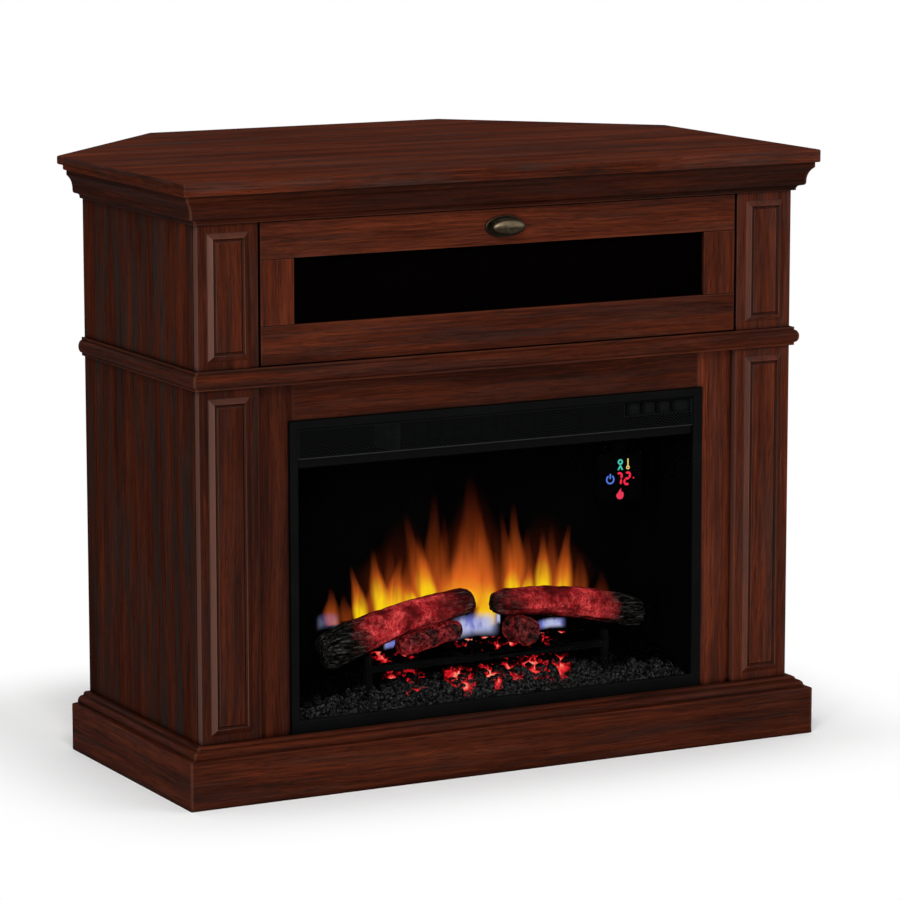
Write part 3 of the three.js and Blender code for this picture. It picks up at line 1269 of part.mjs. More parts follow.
function buildHeater() {
  const foot = chamberFoot + FIT;
  const head = housingHead - SHEET - FIT;
  const y0 = housingFront + HEATER_BEHIND_FRONT;
  const y1 = y0 + HEATER_DEPTH;
  const half = HEATER_WIDTH / 2;
  const wall = HEATER_WALL;
  let unit = solid(box(-half, half, y0, y1, foot, head));
  const duct = solid(box(-half + wall, half - wall, y0 - 1, y1 - wall, foot + wall, head - wall));
  const intakeHalf = half - HEATER_INTAKE_MARGIN;
  const intake = solid(box(-intakeHalf, intakeHalf, y1 - wall - 1, y1 + 1,
    foot + HEATER_INTAKE_EDGE, head - HEATER_INTAKE_EDGE));
  unit = unit.subtract(duct).subtract(intake);

  // Heating element: ribs between two rails, just behind the outlet.
  const railFoot = foot + wall + 6;
  const railHead = head - wall - 6;
  const railY = y0 + 10;
  for (const z of [railFoot, railHead - HEATER_RAIL]) {
    unit = unit.add(solid(box(-half + 1, half - 1, railY, railY + HEATER_RAIL_DEPTH,
      z, z + HEATER_RAIL)));
  }
  const ribY = railY + (HEATER_RAIL_DEPTH - HEATER_RIB_DEPTH) / 2;
  for (let i = 0; i < HEATER_RIBS; i += 1) {
    const x = -intakeHalf + (i * 2 * intakeHalf) / (HEATER_RIBS - 1);
    unit = unit.add(solid(box(x - HEATER_RIB / 2, x + HEATER_RIB / 2,
      ribY, ribY + HEATER_RIB_DEPTH, railFoot + 1, railHead - 1)));
  }
  buildBlower(unit, y0 + BLOWER_BACK, foot + wall, head - wall);
}

// Crossflow wheel, with its two bearing plates standing in the heater duct.
function buildBlower(duct, wheelY, floor, ceiling) {
  const wheelZ = (floor + ceiling) / 2;
  const halfWheel = BLOWER_LENGTH / 2;
  let unit = duct;
  for (const side of [-1, 1]) {
    const x = side * (halfWheel + BLOWER_PLATE_GAP + BLOWER_PLATE / 2);
    const plate = solid(box(x - BLOWER_PLATE / 2, x + BLOWER_PLATE / 2,
      wheelY - BLOWER_PLATE_DEPTH / 2, wheelY + BLOWER_PLATE_DEPTH / 2, floor - 1, ceiling + 1));
    const bore = solid(rodAlongX(BLOWER_AXLE / 2 + FIT, x - BLOWER_PLATE, x + BLOWER_PLATE,
      wheelY, wheelZ, 14));
    unit = unit.add(plate.subtract(bore));
  }
  add('heater_unit', unit, steel());

  const axleHalf = halfWheel + BLOWER_PLATE_GAP + BLOWER_PLATE + 1.5;
  let wheel = solid(rodAlongX(BLOWER_AXLE / 2, -axleHalf, axleHalf, 0, 0, 12));
  for (const x of [-halfWheel, -BLOWER_DISC / 2, halfWheel - BLOWER_DISC]) {
    wheel = wheel.add(solid(rodAlongX(BLOWER_DIAMETER / 2, x, x + BLOWER_DISC, 0, 0,
      BLOWER_BLADES * 2)));
  }
  const bladeTop = BLOWER_DIAMETER / 2 - 0.8;
  for (let i = 0; i < BLOWER_BLADES; i += 1) {
    const blade = box(-halfWheel + 1, halfWheel - 1, -0.6, 0.6,
      bladeTop - BLOWER_BLADE_DEPTH, bladeTop);
    blade.translate(0, 2.5, 0).rotateX((i * 2 * Math.PI) / BLOWER_BLADES);
    wheel = wheel.add(solid(blade));
  }
  const turning = add('blower_wheel', wheel, black());
  turning.position.set(0, wheelY, wheelZ);
}

// ------------------------------------------------------------- assembly

buildTop();
buildMouldings();
buildCarcass();
buildCornerBraces();
buildDoor();
buildFireboxFront();
buildHousing();
buildFlameMaker();
buildFuelBed();
buildHeater();

cabinet.position.y = -(wedgeBack - SLAB_OVERHANG) / 2;

const group = new THREE.Group();
group.add(cabinet);

export default group;
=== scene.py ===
"""Looks of a corner electric fireplace cabinet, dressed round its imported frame.

Metres, +Z up, the cabinet's front towards -Y, its origin on the floor in the
middle of its footprint.
"""

import json
import math
import random

import bmesh
import bpy
from mathutils import Matrix, Vector, noise

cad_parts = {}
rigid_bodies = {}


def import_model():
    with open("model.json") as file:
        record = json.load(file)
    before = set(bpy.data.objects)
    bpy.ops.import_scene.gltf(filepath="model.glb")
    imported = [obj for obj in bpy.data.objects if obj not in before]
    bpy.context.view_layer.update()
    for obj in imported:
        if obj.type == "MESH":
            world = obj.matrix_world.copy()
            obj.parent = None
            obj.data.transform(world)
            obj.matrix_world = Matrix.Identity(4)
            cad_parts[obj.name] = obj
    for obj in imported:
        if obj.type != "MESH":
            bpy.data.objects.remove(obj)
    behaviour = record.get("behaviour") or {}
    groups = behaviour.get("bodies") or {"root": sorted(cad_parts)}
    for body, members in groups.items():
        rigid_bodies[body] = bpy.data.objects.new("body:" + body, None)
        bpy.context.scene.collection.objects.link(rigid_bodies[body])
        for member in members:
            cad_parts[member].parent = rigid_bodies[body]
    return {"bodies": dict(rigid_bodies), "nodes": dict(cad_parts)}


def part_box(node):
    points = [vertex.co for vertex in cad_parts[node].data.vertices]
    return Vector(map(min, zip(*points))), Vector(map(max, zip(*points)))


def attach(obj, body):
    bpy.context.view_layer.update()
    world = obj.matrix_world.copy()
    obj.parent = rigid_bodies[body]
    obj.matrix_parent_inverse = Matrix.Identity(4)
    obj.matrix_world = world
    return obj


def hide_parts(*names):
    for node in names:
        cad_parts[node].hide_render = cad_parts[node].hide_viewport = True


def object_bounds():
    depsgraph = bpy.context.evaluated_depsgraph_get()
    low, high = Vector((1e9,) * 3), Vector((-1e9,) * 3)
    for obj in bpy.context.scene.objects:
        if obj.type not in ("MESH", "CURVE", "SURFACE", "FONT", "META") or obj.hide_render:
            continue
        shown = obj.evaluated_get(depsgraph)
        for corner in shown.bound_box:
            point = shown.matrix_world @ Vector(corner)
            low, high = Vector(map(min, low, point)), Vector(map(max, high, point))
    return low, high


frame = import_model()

bl_info = {
    "name": "Corner fireplace looks",
    "version": (1, 0, 0),
    "blender": (4, 5, 0),
    "location": "3D View > Sidebar > Fireplace",
    "description": "Wood, fire, glass and stage for a corner electric fireplace",
    "category": "Object",
}

NODES = frame["nodes"]
MM = 0.001

# ------------------------------------------------------------ what is where

UPRIGHT = ["side_panel_left", "side_panel_right", "pilaster_left", "pilaster_right",
           "surround_stile_left", "surround_stile_right", "door_stile_left", "door_stile_right"]
LEVEL = ["top_slab", "corner_wedge", "crown_front", "waist_front", "plinth_front", "surround_rail",
         "bottom_rail", "head_rail", "media_shelf", "door_top_rail", "door_bottom_rail"]
FORE_AND_AFT = ["crown_left", "crown_right", "waist_left", "waist_right", "plinth_left",
                "plinth_right", "wedge_gusset_left", "wedge_gusset_right"]
ZINC = ["corner_brace_left", "corner_brace_right", "hinge_arm_left", "hinge_arm_right",
        "hinge_cup_left", "hinge_cup_right", "stay_arm", "stay_bracket", "stay_door_bracket"]
KEYS = [f"control_button_{i}" for i in range(1, 5)]


def clear_start_scene():
    """Removes what a new file starts with, and keeps the frame."""
    kept = set(frame["bodies"].values()) | set(NODES.values())
    for thing in list(bpy.data.objects):
        if thing not in kept:
            bpy.data.objects.remove(thing)
    bpy.context.view_layer.update()


clear_start_scene()
CAD_BOX = [list(corner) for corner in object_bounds()]

# ---------------------------------------------------------------- settings


def colour(name, description, default):
    return bpy.props.FloatVectorProperty(
        name=name, description=description, default=default, subtype="COLOR", min=0, max=1, size=3)


class FIREPLACE_PG_wood(bpy.types.PropertyGroup):
    dark: colour("Dark grain", "Colour of the darkest grain", (0.012, 0.0036, 0.0024))
    body: colour("Body", "Main colour of the stained wood", (0.055, 0.0108, 0.0044))
    light: colour("Light grain", "Colour of the lightest grain", (0.118, 0.0235, 0.0088))
    glaze: colour("Glaze", "Grey-black glaze left in the grain", (0.023, 0.0195, 0.0172))
    # Worn edge colour: the rubbed edges, and also the painted highlight along the convex edges.
    worn: colour("Worn edge", "Colour where an edge is rubbed", (0.13, 0.05, 0.03))
    roughness: bpy.props.FloatProperty(
        name="Roughness", description="Roughness of the lacquer", default=0.34, min=0, max=1)
    edge: bpy.props.FloatProperty(
        name="Eased edge", description="Width of the eased edges", default=0.0009,
        min=0, max=0.003, subtype="DISTANCE", unit="LENGTH")


class FIREPLACE_PG_fire(bpy.types.PropertyGroup):
    flame_root: colour("Flame root", "Colour of the hottest part of a flame", (1.0, 0.66, 0.008))
    flame_middle: colour("Flame middle", "Colour of the middle of a flame", (0.92, 0.17, 0.018))
    flame_tip: colour("Flame tip", "Colour of a flame's tip", (0.36, 0.042, 0.011))
    gas_glow: colour("Blue glow", "Glow behind the logs", (0.17, 0.2, 0.72))
    log_glow: colour("Log glow", "Glow in the logs", (0.36, 0.006, 0.012))
    ember_glow: colour("Ember glow", "Glow in the coals", (0.8, 0.012, 0.022))
    lumps: bpy.props.IntProperty(
        name="Coal lumps", description="How many lumps lie on the bed", default=300, min=0, max=900)


class FIREPLACE_PG_display(bpy.types.PropertyGroup):
    timer: colour("Timer symbol", "Colour of the timer symbol", (0.06, 0.62, 0.5))
    thermometer: colour("Thermometer", "Colour of the thermometer", (0.95, 0.7, 0.2))
    power: colour("Power symbol", "Colour of the power symbol", (0.1, 0.22, 0.85))
    digits: colour("Digits", "Colour of the digits", (1.0, 0.02, 0.07))
    flame: colour("Flame symbol", "Colour of the flame symbol", (0.9, 0.04, 0.1))


class FIREPLACE_PG_stage(bpy.types.PropertyGroup):
    camera_place: bpy.props.FloatVectorProperty(
        name="Camera place", description="Where the camera stands",
        default=(-3.129, -6.0925, 1.6175), subtype="TRANSLATION", unit="LENGTH", size=3)
    camera_yaw: bpy.props.FloatProperty(
        name="Yaw", description="Camera turn from straight ahead", default=math.radians(-27.855),
        subtype="ANGLE", unit="ROTATION")
    camera_pitch: bpy.props.FloatProperty(
        name="Pitch", description="Camera tilt below level", default=math.radians(9.626),
        subtype="ANGLE", unit="ROTATION")
    camera_roll: bpy.props.FloatProperty(
        name="Roll", description="Camera roll", default=math.radians(-0.045),
        subtype="ANGLE", unit="ROTATION")
    lens: bpy.props.FloatProperty(
        name="Lens", description="Focal length on a 36 mm sensor", default=169.6,
        subtype="DISTANCE_CAMERA", unit="CAMERA")
    ambient: bpy.props.FloatProperty(
        name="Ambient", description="Strength of the even light", default=0.42, min=0, max=2)


PROPERTY_GROUPS = {
    "fireplace_wood": FIREPLACE_PG_wood,
    "fireplace_fire": FIREPLACE_PG_fire,
    "fireplace_display": FIREPLACE_PG_display,
    "fireplace_stage": FIREPLACE_PG_stage,
}

# ------------------------------------------------------- materials, helpers


class Recipe:
    """A node material in the making: each call adds a node and gives a socket."""

    def __init__(self, name):
        self.material = bpy.data.materials.new(name)
        self.material.use_nodes = True
        self.tree = self.material.node_tree
        self.tree.nodes.clear()
        self.place = self.node("ShaderNodeTexCoord").outputs["Object"]

    def node(self, kind, inputs=None, **settings):
        node = self.tree.nodes.new(kind)
        for key, value in settings.items():
            setattr(node, key, value)
        for key, value in (inputs or {}).items():
            if isinstance(value, bpy.types.NodeSocket):
                self.tree.links.new(value, node.inputs[key])
            else:
                node.inputs[key].default_value = value
        return node

    def stretched(self, scale, offset=(0, 0, 0), place=None):
        return self.node("ShaderNodeMapping", {
            "Vector": place or self.place, "Scale": scale, "Location": offset}).outputs[0]

    def noise(self, place, scale=1.0, detail=2.0, roughness=0.5, distortion=0.0):
        return self.node("ShaderNodeTexNoise", {
            "Vector": place, "Scale": scale, "Detail": detail, "Roughness": roughness,
            "Distortion": distortion}).outputs[0]

    def cracks(self, place, scale, randomness=1.0):
        return self.node("ShaderNodeTexVoronoi", {
            "Vector": place, "Scale": scale, "Randomness": randomness},
            feature="DISTANCE_TO_EDGE").outputs["Distance"]

    def step(self, value, low, high, to_low=0.0, to_high=1.0):
        """Smooth step of value from low to high."""
        return self.node("ShaderNodeMapRange", {
            "Value": value, "From Min": low, "From Max": high, "To Min": to_low, "To Max": to_high},
            interpolation_type="SMOOTHSTEP").outputs[0]

    def sum(self, kind, a, b=0.0, c=0.0):
        return self.node("ShaderNodeMath", {0: a, 1: b, 2: c}, operation=kind).outputs[0]

    def blend(self, share, a, b):
        """Colour a turning into colour b as share goes from 0 to 1."""
        first = (*a, 1) if isinstance(a, tuple) else a
        second = (*b, 1) if isinstance(b, tuple) else b
        return self.node("ShaderNodeMix", {0: share, 6: first, 7: second},
                         data_type="RGBA").outputs[2]

    def ramp(self, value, stops):
        node = self.node("ShaderNodeValToRGB", {"Fac": value})
        elements = node.color_ramp.elements
        while len(elements) < len(stops):
            elements.new(0.5)
        for element, (position, tint) in zip(elements, stops):
            element.position = position
            element.color = (*tint, 1)
        return node.outputs["Color"]

    def axis(self, letter, place=None):
        split = self.node("ShaderNodeSeparateXYZ", {"Vector": place or self.place})
        return split.outputs[letter]

    def bump(self, height, distance, strength=1.0):
        return self.node("ShaderNodeBump", {
            "Height": height, "Distance": distance, "Strength": strength}).outputs[0]

    def finish(self, **sockets):
        """Ends the material in a Principled shader; names use _ for a space."""
        inputs = {key.replace("_", " ").replace("IOR level", "IOR Level"): value
                  for key, value in sockets.items()}
        shader = self.node("ShaderNodeBsdfPrincipled", {
            key: (*value, 1) if isinstance(value, tuple) and len(value) == 3 else value
            for key, value in inputs.items()})
        output = self.node("ShaderNodeOutputMaterial")
        self.tree.links.new(shader.outputs[0], output.inputs["Surface"])
        return self.material


def setting(group):
    return getattr(bpy.context.scene, "fireplace_" + group)


def tint(value):
    return tuple(value)


# ---------------------------------------------------------------- materials


def along(grain, length_scale, width_scale):
    """Scale of a pattern that runs along the grain axis."""
    return tuple(length_scale if axis == grain else width_scale for axis in "xyz")


def cherry(name, grain, seed, glaze=0.3, shade=(1, 1), sheen=0.04, banded=False, bevel_highlight=0):
    """Dark cherry stain: fine long grain under a worn glaze, with painted shade
    in the hollows and lighter convex edges, partly rubbed and partly a painted
    highlight. shade scales the lower and the upper tier: painted light and shade,
    board by board. The bevel share paints a highlight on the bevels that face up
    and to the left. A banded board shows its grain along its end faces too."""
    wood = setting("wood")
    r = Recipe(name)
    place = r.place
    normal = r.node("ShaderNodeTexCoord").outputs["Normal"]
    if banded:
        turned = r.node("ShaderNodeCombineXYZ", {
            0: r.axis("Y"), 1: r.axis("X"), 2: r.axis("Z")}).outputs[0]
        end_face = r.step(r.sum("ABSOLUTE", r.axis("X", normal)), 0.45, 0.55)
        place = r.node("ShaderNodeMix", {0: end_face, 4: place, 5: turned},
                       data_type="VECTOR").outputs[1]
    start = (seed * 1.37, seed * 2.11, seed * 0.73)
    sway = r.noise(r.stretched(along(grain, 1.6, 5.0), start, place), detail=3)
    swing = r.sum("MULTIPLY_ADD", sway, 0.03, -0.015)
    bent = r.node("ShaderNodeVectorMath", {0: place, 1: r.node(
        "ShaderNodeCombineXYZ", {0: swing, 1: swing, 2: swing}).outputs[0]},
        operation="ADD").outputs[0]
    bands = r.noise(r.stretched(along(grain, 1.6, 30), start, bent), detail=4, roughness=0.6)
    streaks = r.noise(r.stretched(along(grain, 7, 300), start, bent), detail=6, roughness=0.7)
    hairs = r.noise(r.stretched(along(grain, 26, 1100), start, bent), detail=2)
    patches = r.noise(r.stretched(along(grain, 3.2, 48), start[::-1], bent), detail=7, roughness=0.75)
    body = r.sum("MULTIPLY_ADD", streaks, 0.55, r.sum("MULTIPLY", bands, 0.45))
    dyed = r.ramp(body, [(0.36, tint(wood.dark)), (0.5, tint(wood.body)), (0.65, tint(wood.light))])
    worn = r.sum("MULTIPLY", r.step(patches, 0.44, 0.62), glaze)
    glazed = r.blend(worn, dyed, tint(wood.glaze))
    pored = r.blend(r.step(hairs, 0.5, 0.66, 0, 0.6), glazed, tint(wood.dark))
    # Painted light and shade: each board, and its lower and upper tier, is made lighter or darker.
    tier_painted_light = r.step(r.axis("Z"), 0.62, 0.68, *shade)
    painted_tier_colour = r.node("ShaderNodeVectorMath", {0: pored, "Scale": tier_painted_light}, operation="SCALE").outputs[0]
    # Painted shade: the colour goes nearly black in the crevices that the occlusion finds.
    hollow = r.node("ShaderNodeAmbientOcclusion", {"Distance": 0.011}, samples=4).outputs["AO"]
    # Lighter convex edges, where the inside occlusion is low: partly rubbed, partly a painted highlight.
    within = r.node("ShaderNodeAmbientOcclusion", {"Distance": 0.0028}, samples=4,
                    inside=True).outputs["AO"]
    rubbed_and_painted_light = r.blend(r.step(within, 0.86, 0.5, 0, 0.32), painted_tier_colour, tint(wood.worn))
    # Painted highlight on the bevels that face left and up.
    if bevel_highlight:
        bevel_highlight_mask = r.sum("MAXIMUM", r.step(r.axis("X", normal), -0.2, -0.45),
                      r.step(r.axis("Z", normal), 0.2, 0.45, 0, 0.5))
        rubbed_and_painted_light = r.blend(r.sum("MULTIPLY", bevel_highlight_mask, bevel_highlight), rubbed_and_painted_light, (0.17, 0.085, 0.065))
    # Painted shade in the crevices.
    painted_crevice_shade = r.blend(r.step(hollow, 0.9, 0.45, 0, 0.96), rubbed_and_painted_light, (0.001, 0.0004, 0.0004))
    relief = r.sum("MULTIPLY_ADD", hairs, 0.5, streaks)
    return r.finish(
        Base_Color=painted_crevice_shade, Roughness=0.6, Specular_IOR_Level=0.0, Coat_Weight=sheen,
        Coat_Roughness=r.step(streaks, 0.3, 0.7, wood.roughness, wood.roughness - 0.1),
        Normal=r.bump(relief, 0.0003, 0.3))


def raw_board():
    """Brown fibreboard, with the stained face towards the media shelf."""
    wood = setting("wood")
    r = Recipe("raw_board")
    fibres = r.noise(r.stretched((60, 60, 60)), detail=6, roughness=0.7)
    brown = r.ramp(fibres, [(0.3, (0.16, 0.1, 0.06)), (0.7, (0.27, 0.18, 0.11))])
    grain = r.noise(r.stretched((3, 60, 60)), detail=5, roughness=0.6)
    stained = r.ramp(grain, [(0.35, tint(wood.dark)), (0.6, tint(wood.light))])
    facing = r.axis("Y", r.node("ShaderNodeTexCoord").outputs["Normal"])
    front = r.step(facing, -0.4, -0.8)
    return r.finish(Base_Color=r.blend(front, brown, stained), Roughness=0.62,
                    Specular_IOR_Level=0.2, Normal=r.bump(fibres, 0.0004, 0.4))


def metal(name, pale, dark, roughness, grain=(40, 40, 40), metallic=1.0, relief=0.0002):
    """Plated or brushed metal with faint streaks."""
    r = Recipe(name)
    streaks = r.noise(r.stretched(grain), detail=4, roughness=0.6)
    stained = r.noise(r.stretched((18, 18, 18)), detail=3)
    share = r.sum("MULTIPLY", r.step(stained, 0.35, 0.75), 0.6)
    return r.finish(
        Base_Color=r.blend(share, pale, dark), Metallic=metallic,
        Roughness=r.step(streaks, 0.2, 0.8, roughness * 0.8, roughness * 1.2),
        Normal=r.bump(streaks, relief, 0.3))


def black_paint(name, shade, roughness, grain_scale=900, sheen=0.06):
    """Satin black coat with the fine orange peel of powder paint."""
    r = Recipe(name)
    peel = r.noise(r.place, scale=grain_scale, detail=2)
    dust = r.noise(r.place, scale=14, detail=4, roughness=0.6)
    pale = tuple(min(1, channel * 1.7) for channel in shade)
    return r.finish(
        Base_Color=r.blend(r.step(dust, 0.4, 0.75, 0, 0.7), shade, pale),
        Roughness=0.7, Specular_IOR_Level=0.0, Coat_Weight=sheen,
        Coat_Roughness=r.step(dust, 0.3, 0.7, roughness, roughness * 1.15),
        Normal=r.bump(peel, 0.0001, 0.35))


def inside_mask(r, node):
    """1 within the skin of a node's box, 0 on the skin itself."""
    low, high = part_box(node)
    skin = 1.0 * MM
    inside = r.sum("LESS_THAN", r.axis("Y"), high.y - skin)
    for face, letter, kind in ((low.x + skin, "X", "GREATER_THAN"), (high.x - skin, "X", "LESS_THAN"),
                               (low.z + skin, "Z", "GREATER_THAN"), (high.z - skin, "Z", "LESS_THAN")):
        inside = r.sum("MULTIPLY", inside, r.sum(kind, r.axis(letter), face))
    return inside


def grille_paint(highlight_top):
    """Black paint with a painted highlight, broken up in streaks, along the fold at the foot of the grille.
    """
    r = Recipe("grille_paint")
    peel = r.noise(r.place, scale=900, detail=2)
    grille_streaks = r.noise(r.stretched((30, 30, 200)), detail=4, roughness=0.6)
    # Painted highlight: a thin grey line at the foot of the grille, broken up in streaks.
    rubbed_and_painted_light = r.sum("MULTIPLY", r.step(r.axis("Z"), highlight_top + 0.4 * MM, highlight_top), r.step(grille_streaks, 0.2, 0.6, 0.5, 1))
    return r.finish(
        Base_Color=r.blend(rubbed_and_painted_light, (0.0042, 0.0046, 0.0044), (0.017, 0.0175, 0.017)), Roughness=0.7,
        Specular_IOR_Level=0.0, Coat_Weight=0.03, Coat_Roughness=r.step(grille_streaks, 0.3, 0.7, 0.45, 0.6),
        Normal=r.bump(peel, 0.0001, 0.35))


def housing_steel():
    """Galvanised outside; the hollow that the glass shows is painted black."""
    r = Recipe("housing_steel")
    flakes = r.node("ShaderNodeTexVoronoi", {"Vector": r.place, "Scale": 70.0}).outputs["Color"]
    spangle = r.node("ShaderNodeSeparateColor", {0: flakes}).outputs[0]
    zinc = r.ramp(spangle, [(0.0, (0.36, 0.37, 0.38)), (1.0, (0.56, 0.57, 0.58))])
    inside = inside_mask(r, "insert_housing")
    outside = r.sum("SUBTRACT", 1.0, inside)
    return r.finish(
        Base_Color=r.blend(inside, zinc, (0.0012, 0.0012, 0.0013)), Metallic=outside,
        Roughness=r.sum("MULTIPLY_ADD", inside, 0.4, 0.42), Specular_IOR_Level=0.0)


def heater_steel():
    """Galvanised duct, black within, where the grille shows it."""
    r = Recipe("heater_steel")
    streaks = r.noise(r.stretched((20, 60, 20)), detail=4, roughness=0.6)
    zinc = r.ramp(streaks, [(0.3, (0.32, 0.33, 0.34)), (0.7, (0.52, 0.53, 0.54))])
    mouth = r.sum("LESS_THAN", r.axis("Y"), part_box("heater_unit")[0].y + 30 * MM)
    inside = r.sum("MAXIMUM", mouth, inside_mask(r, "heater_unit"))
    return r.finish(
        Base_Color=r.blend(inside, zinc, (0.0008, 0.0008, 0.0008)),
        Metallic=r.sum("SUBTRACT", 1.0, inside), Roughness=r.step(streaks, 0.2, 0.8, 0.35, 0.5),
        Specular_IOR_Level=0.0, Normal=r.bump(streaks, 0.0002, 0.3))


def firebox_glass():
    """Clear toughened glass with the black painted band along its head."""
    low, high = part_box("insert_glass")
    r = Recipe("firebox_glass")
    band = r.sum("GREATER_THAN", r.axis("Z"), high.z - 13 * MM)
    smear = r.noise(r.stretched((5, 5, 14)), detail=4)
    return r.finish(
        Base_Color=(0.002, 0.002, 0.002), Roughness=r.step(smear, 0.3, 0.7, 0.04, 0.1),
        Specular_IOR_Level=0.02, Alpha=r.sum("MAXIMUM", band, r.step(smear, 0.3, 0.8, 0.02, 0.04)))


def door_glass():
    """Dark tinted glass that lets the shelf's back show faintly."""
    r = Recipe("door_glass")
    smear = r.noise(r.stretched((4, 4, 10)), detail=4)
    return r.finish(
        Base_Color=(0.0008, 0.0004, 0.0004), Roughness=r.step(smear, 0.3, 0.7, 0.05, 0.11),
        Specular_IOR_Level=0.0, Alpha=r.step(smear, 0.2, 0.8, 0.78, 0.84))


def smoked_screen():
    r = Recipe("smoked_screen")
    streaks = r.noise(r.stretched((30, 30, 4)), detail=3)
    return r.finish(
        Base_Color=r.ramp(streaks, [(0.3, (0.0005, 0.0005, 0.0005)), (0.7, (0.001, 0.001, 0.001))]),
        Roughness=r.step(streaks, 0.3, 0.7, 0.3, 0.45), Specular_IOR_Level=0.0)


def brass(name, deep, worn, roughness):
    """Antique brass with a mottle, painted lighter on faces that turn up and darker on faces that turn down:
    painted light and shade.
    """
    r = Recipe(name)
    mottle = r.noise(r.place, scale=130, detail=5, roughness=0.65)
    # Painted light and shade: lighter where the face turns up.
    facing_up = r.axis("Z", r.node("ShaderNodeTexCoord").outputs["Normal"])
    rubbed_and_painted_light = r.sum("MULTIPLY_ADD", r.step(facing_up, -0.2, 0.9), 0.55, r.sum("MULTIPLY", mottle, 0.45))
    return r.finish(
        Base_Color=r.ramp(rubbed_and_painted_light, [(0.2, deep), (0.75, worn)]), Metallic=1.0,
        Roughness=r.step(mottle, 0.3, 0.7, roughness, roughness + 0.15),
        Normal=r.bump(mottle, 0.0002, 0.4))


def lit(name, glow, strength=1.0):
    """A lit symbol, its glow a little uneven."""
    r = Recipe(name)
    flicker = r.noise(r.place, scale=300, detail=2)
    shade = r.step(flicker, 0.2, 0.8, 0.8, 1.0)
    glowing = r.blend(shade, (0.0, 0.0, 0.0), glow)
    return r.finish(Base_Color=(0.002, 0.002, 0.002), Roughness=0.4, Specular_IOR_Level=0.05,
                    Emission_Color=glowing, Emission_Strength=strength)


def fine_lines(r, place, scale, width, detail=2.0, distortion=0.6):
    """Curling lines where a noise crosses its middle value."""
    wave = r.noise(place, scale=scale, detail=detail, roughness=0.55, distortion=distortion)
    return r.step(r.sum("ABSOLUTE", r.sum("SUBTRACT", wave, 0.5)), width, 0.0)


def charred_log(name, bark_side, bark_end, char_end):
    """Moulded log: grey bark at one end, a glow under a net of fine cracks in
    the middle and a charred end. bark_side is -1 or 1, the end that is bark."""
    fire = setting("fire")
    r = Recipe(name)
    ragged = r.noise(r.place, scale=55, detail=5, roughness=0.7)
    where = r.sum("MULTIPLY_ADD", ragged, 0.07, r.sum("SUBTRACT", r.axis("X"), 0.035))
    s = bark_side
    warm = r.sum("MULTIPLY", r.step(where, bark_end + s * 0.016, bark_end - s * 0.035),
                 r.step(where, char_end - s * 0.05, char_end + s * 0.03, 0.1, 1.0))
    grey = r.noise(r.stretched((45, 300, 300)), detail=6, roughness=0.72)
    bark = r.ramp(grey, [(0.42, (0.0008, 0.0008, 0.0008)), (0.56, (0.016, 0.015, 0.0135)),
                         (0.7, (0.13, 0.12, 0.1))])
    split = fine_lines(r, r.stretched((0.3, 1.3, 1.3)), 70, 0.05, 3)
    soot = r.blend(split, bark, (0.0006, 0.0006, 0.0006))
    char = r.ramp(ragged, [(0.35, (0.003, 0.0012, 0.0012)), (0.7, (0.018, 0.006, 0.006))])
    normal = r.node("ShaderNodeTexCoord").outputs["Normal"]
    # Painted shade on the glow: it fades on faces that turn back or down.
    facing = r.sum("MULTIPLY_ADD", r.axis("Y", normal), -0.8, r.sum(
        "MULTIPLY", r.axis("Z", normal), 0.4))
    cloud = r.noise(r.place, scale=20, detail=4, roughness=0.65)
    heat = r.sum("MULTIPLY", r.sum("MULTIPLY", warm, r.step(facing, -0.05, 0.85)),
                 r.step(cloud, 0.34, 0.64, 0.16, 1.1))
    wander = r.node("ShaderNodeTexNoise", {
        "Vector": r.place, "Scale": 60.0, "Detail": 3.0}).outputs["Color"]
    bent = r.node("ShaderNodeVectorMath", {0: wander, 1: (0.02, 0.02, 0.02), 2: r.place},
                  operation="MULTIPLY_ADD").outputs[0]
    net = r.sum("MAXIMUM", r.step(r.cracks(r.stretched((165, 75, 75), place=bent), 1.0), 0.13, 0.01),
                r.sum("MULTIPLY", r.step(r.cracks(r.stretched((330, 170, 170), place=bent), 1.0),
                                         0.16, 0.02), 0.45))
    crackled = r.sum("MULTIPLY", net, r.step(cloud, 0.38, 0.66, 0.1, 0.75))
    mottled = r.sum("MULTIPLY", heat, r.step(ragged, 0.25, 0.6, 0.35, 1.0))
    glow = r.blend(crackled, tint(fire.log_glow), (0.95, 0.12, 0.11))
    emitted = r.blend(mottled, (0.0, 0.0, 0.0), glow)
    return r.finish(
        Base_Color=r.blend(warm, soot, char), Roughness=0.85, Specular_IOR_Level=0.0,
        Emission_Color=emitted, Emission_Strength=1.0,
        Normal=r.bump(r.sum("MULTIPLY_ADD", split, -0.4, grey), 0.003, 0.7))


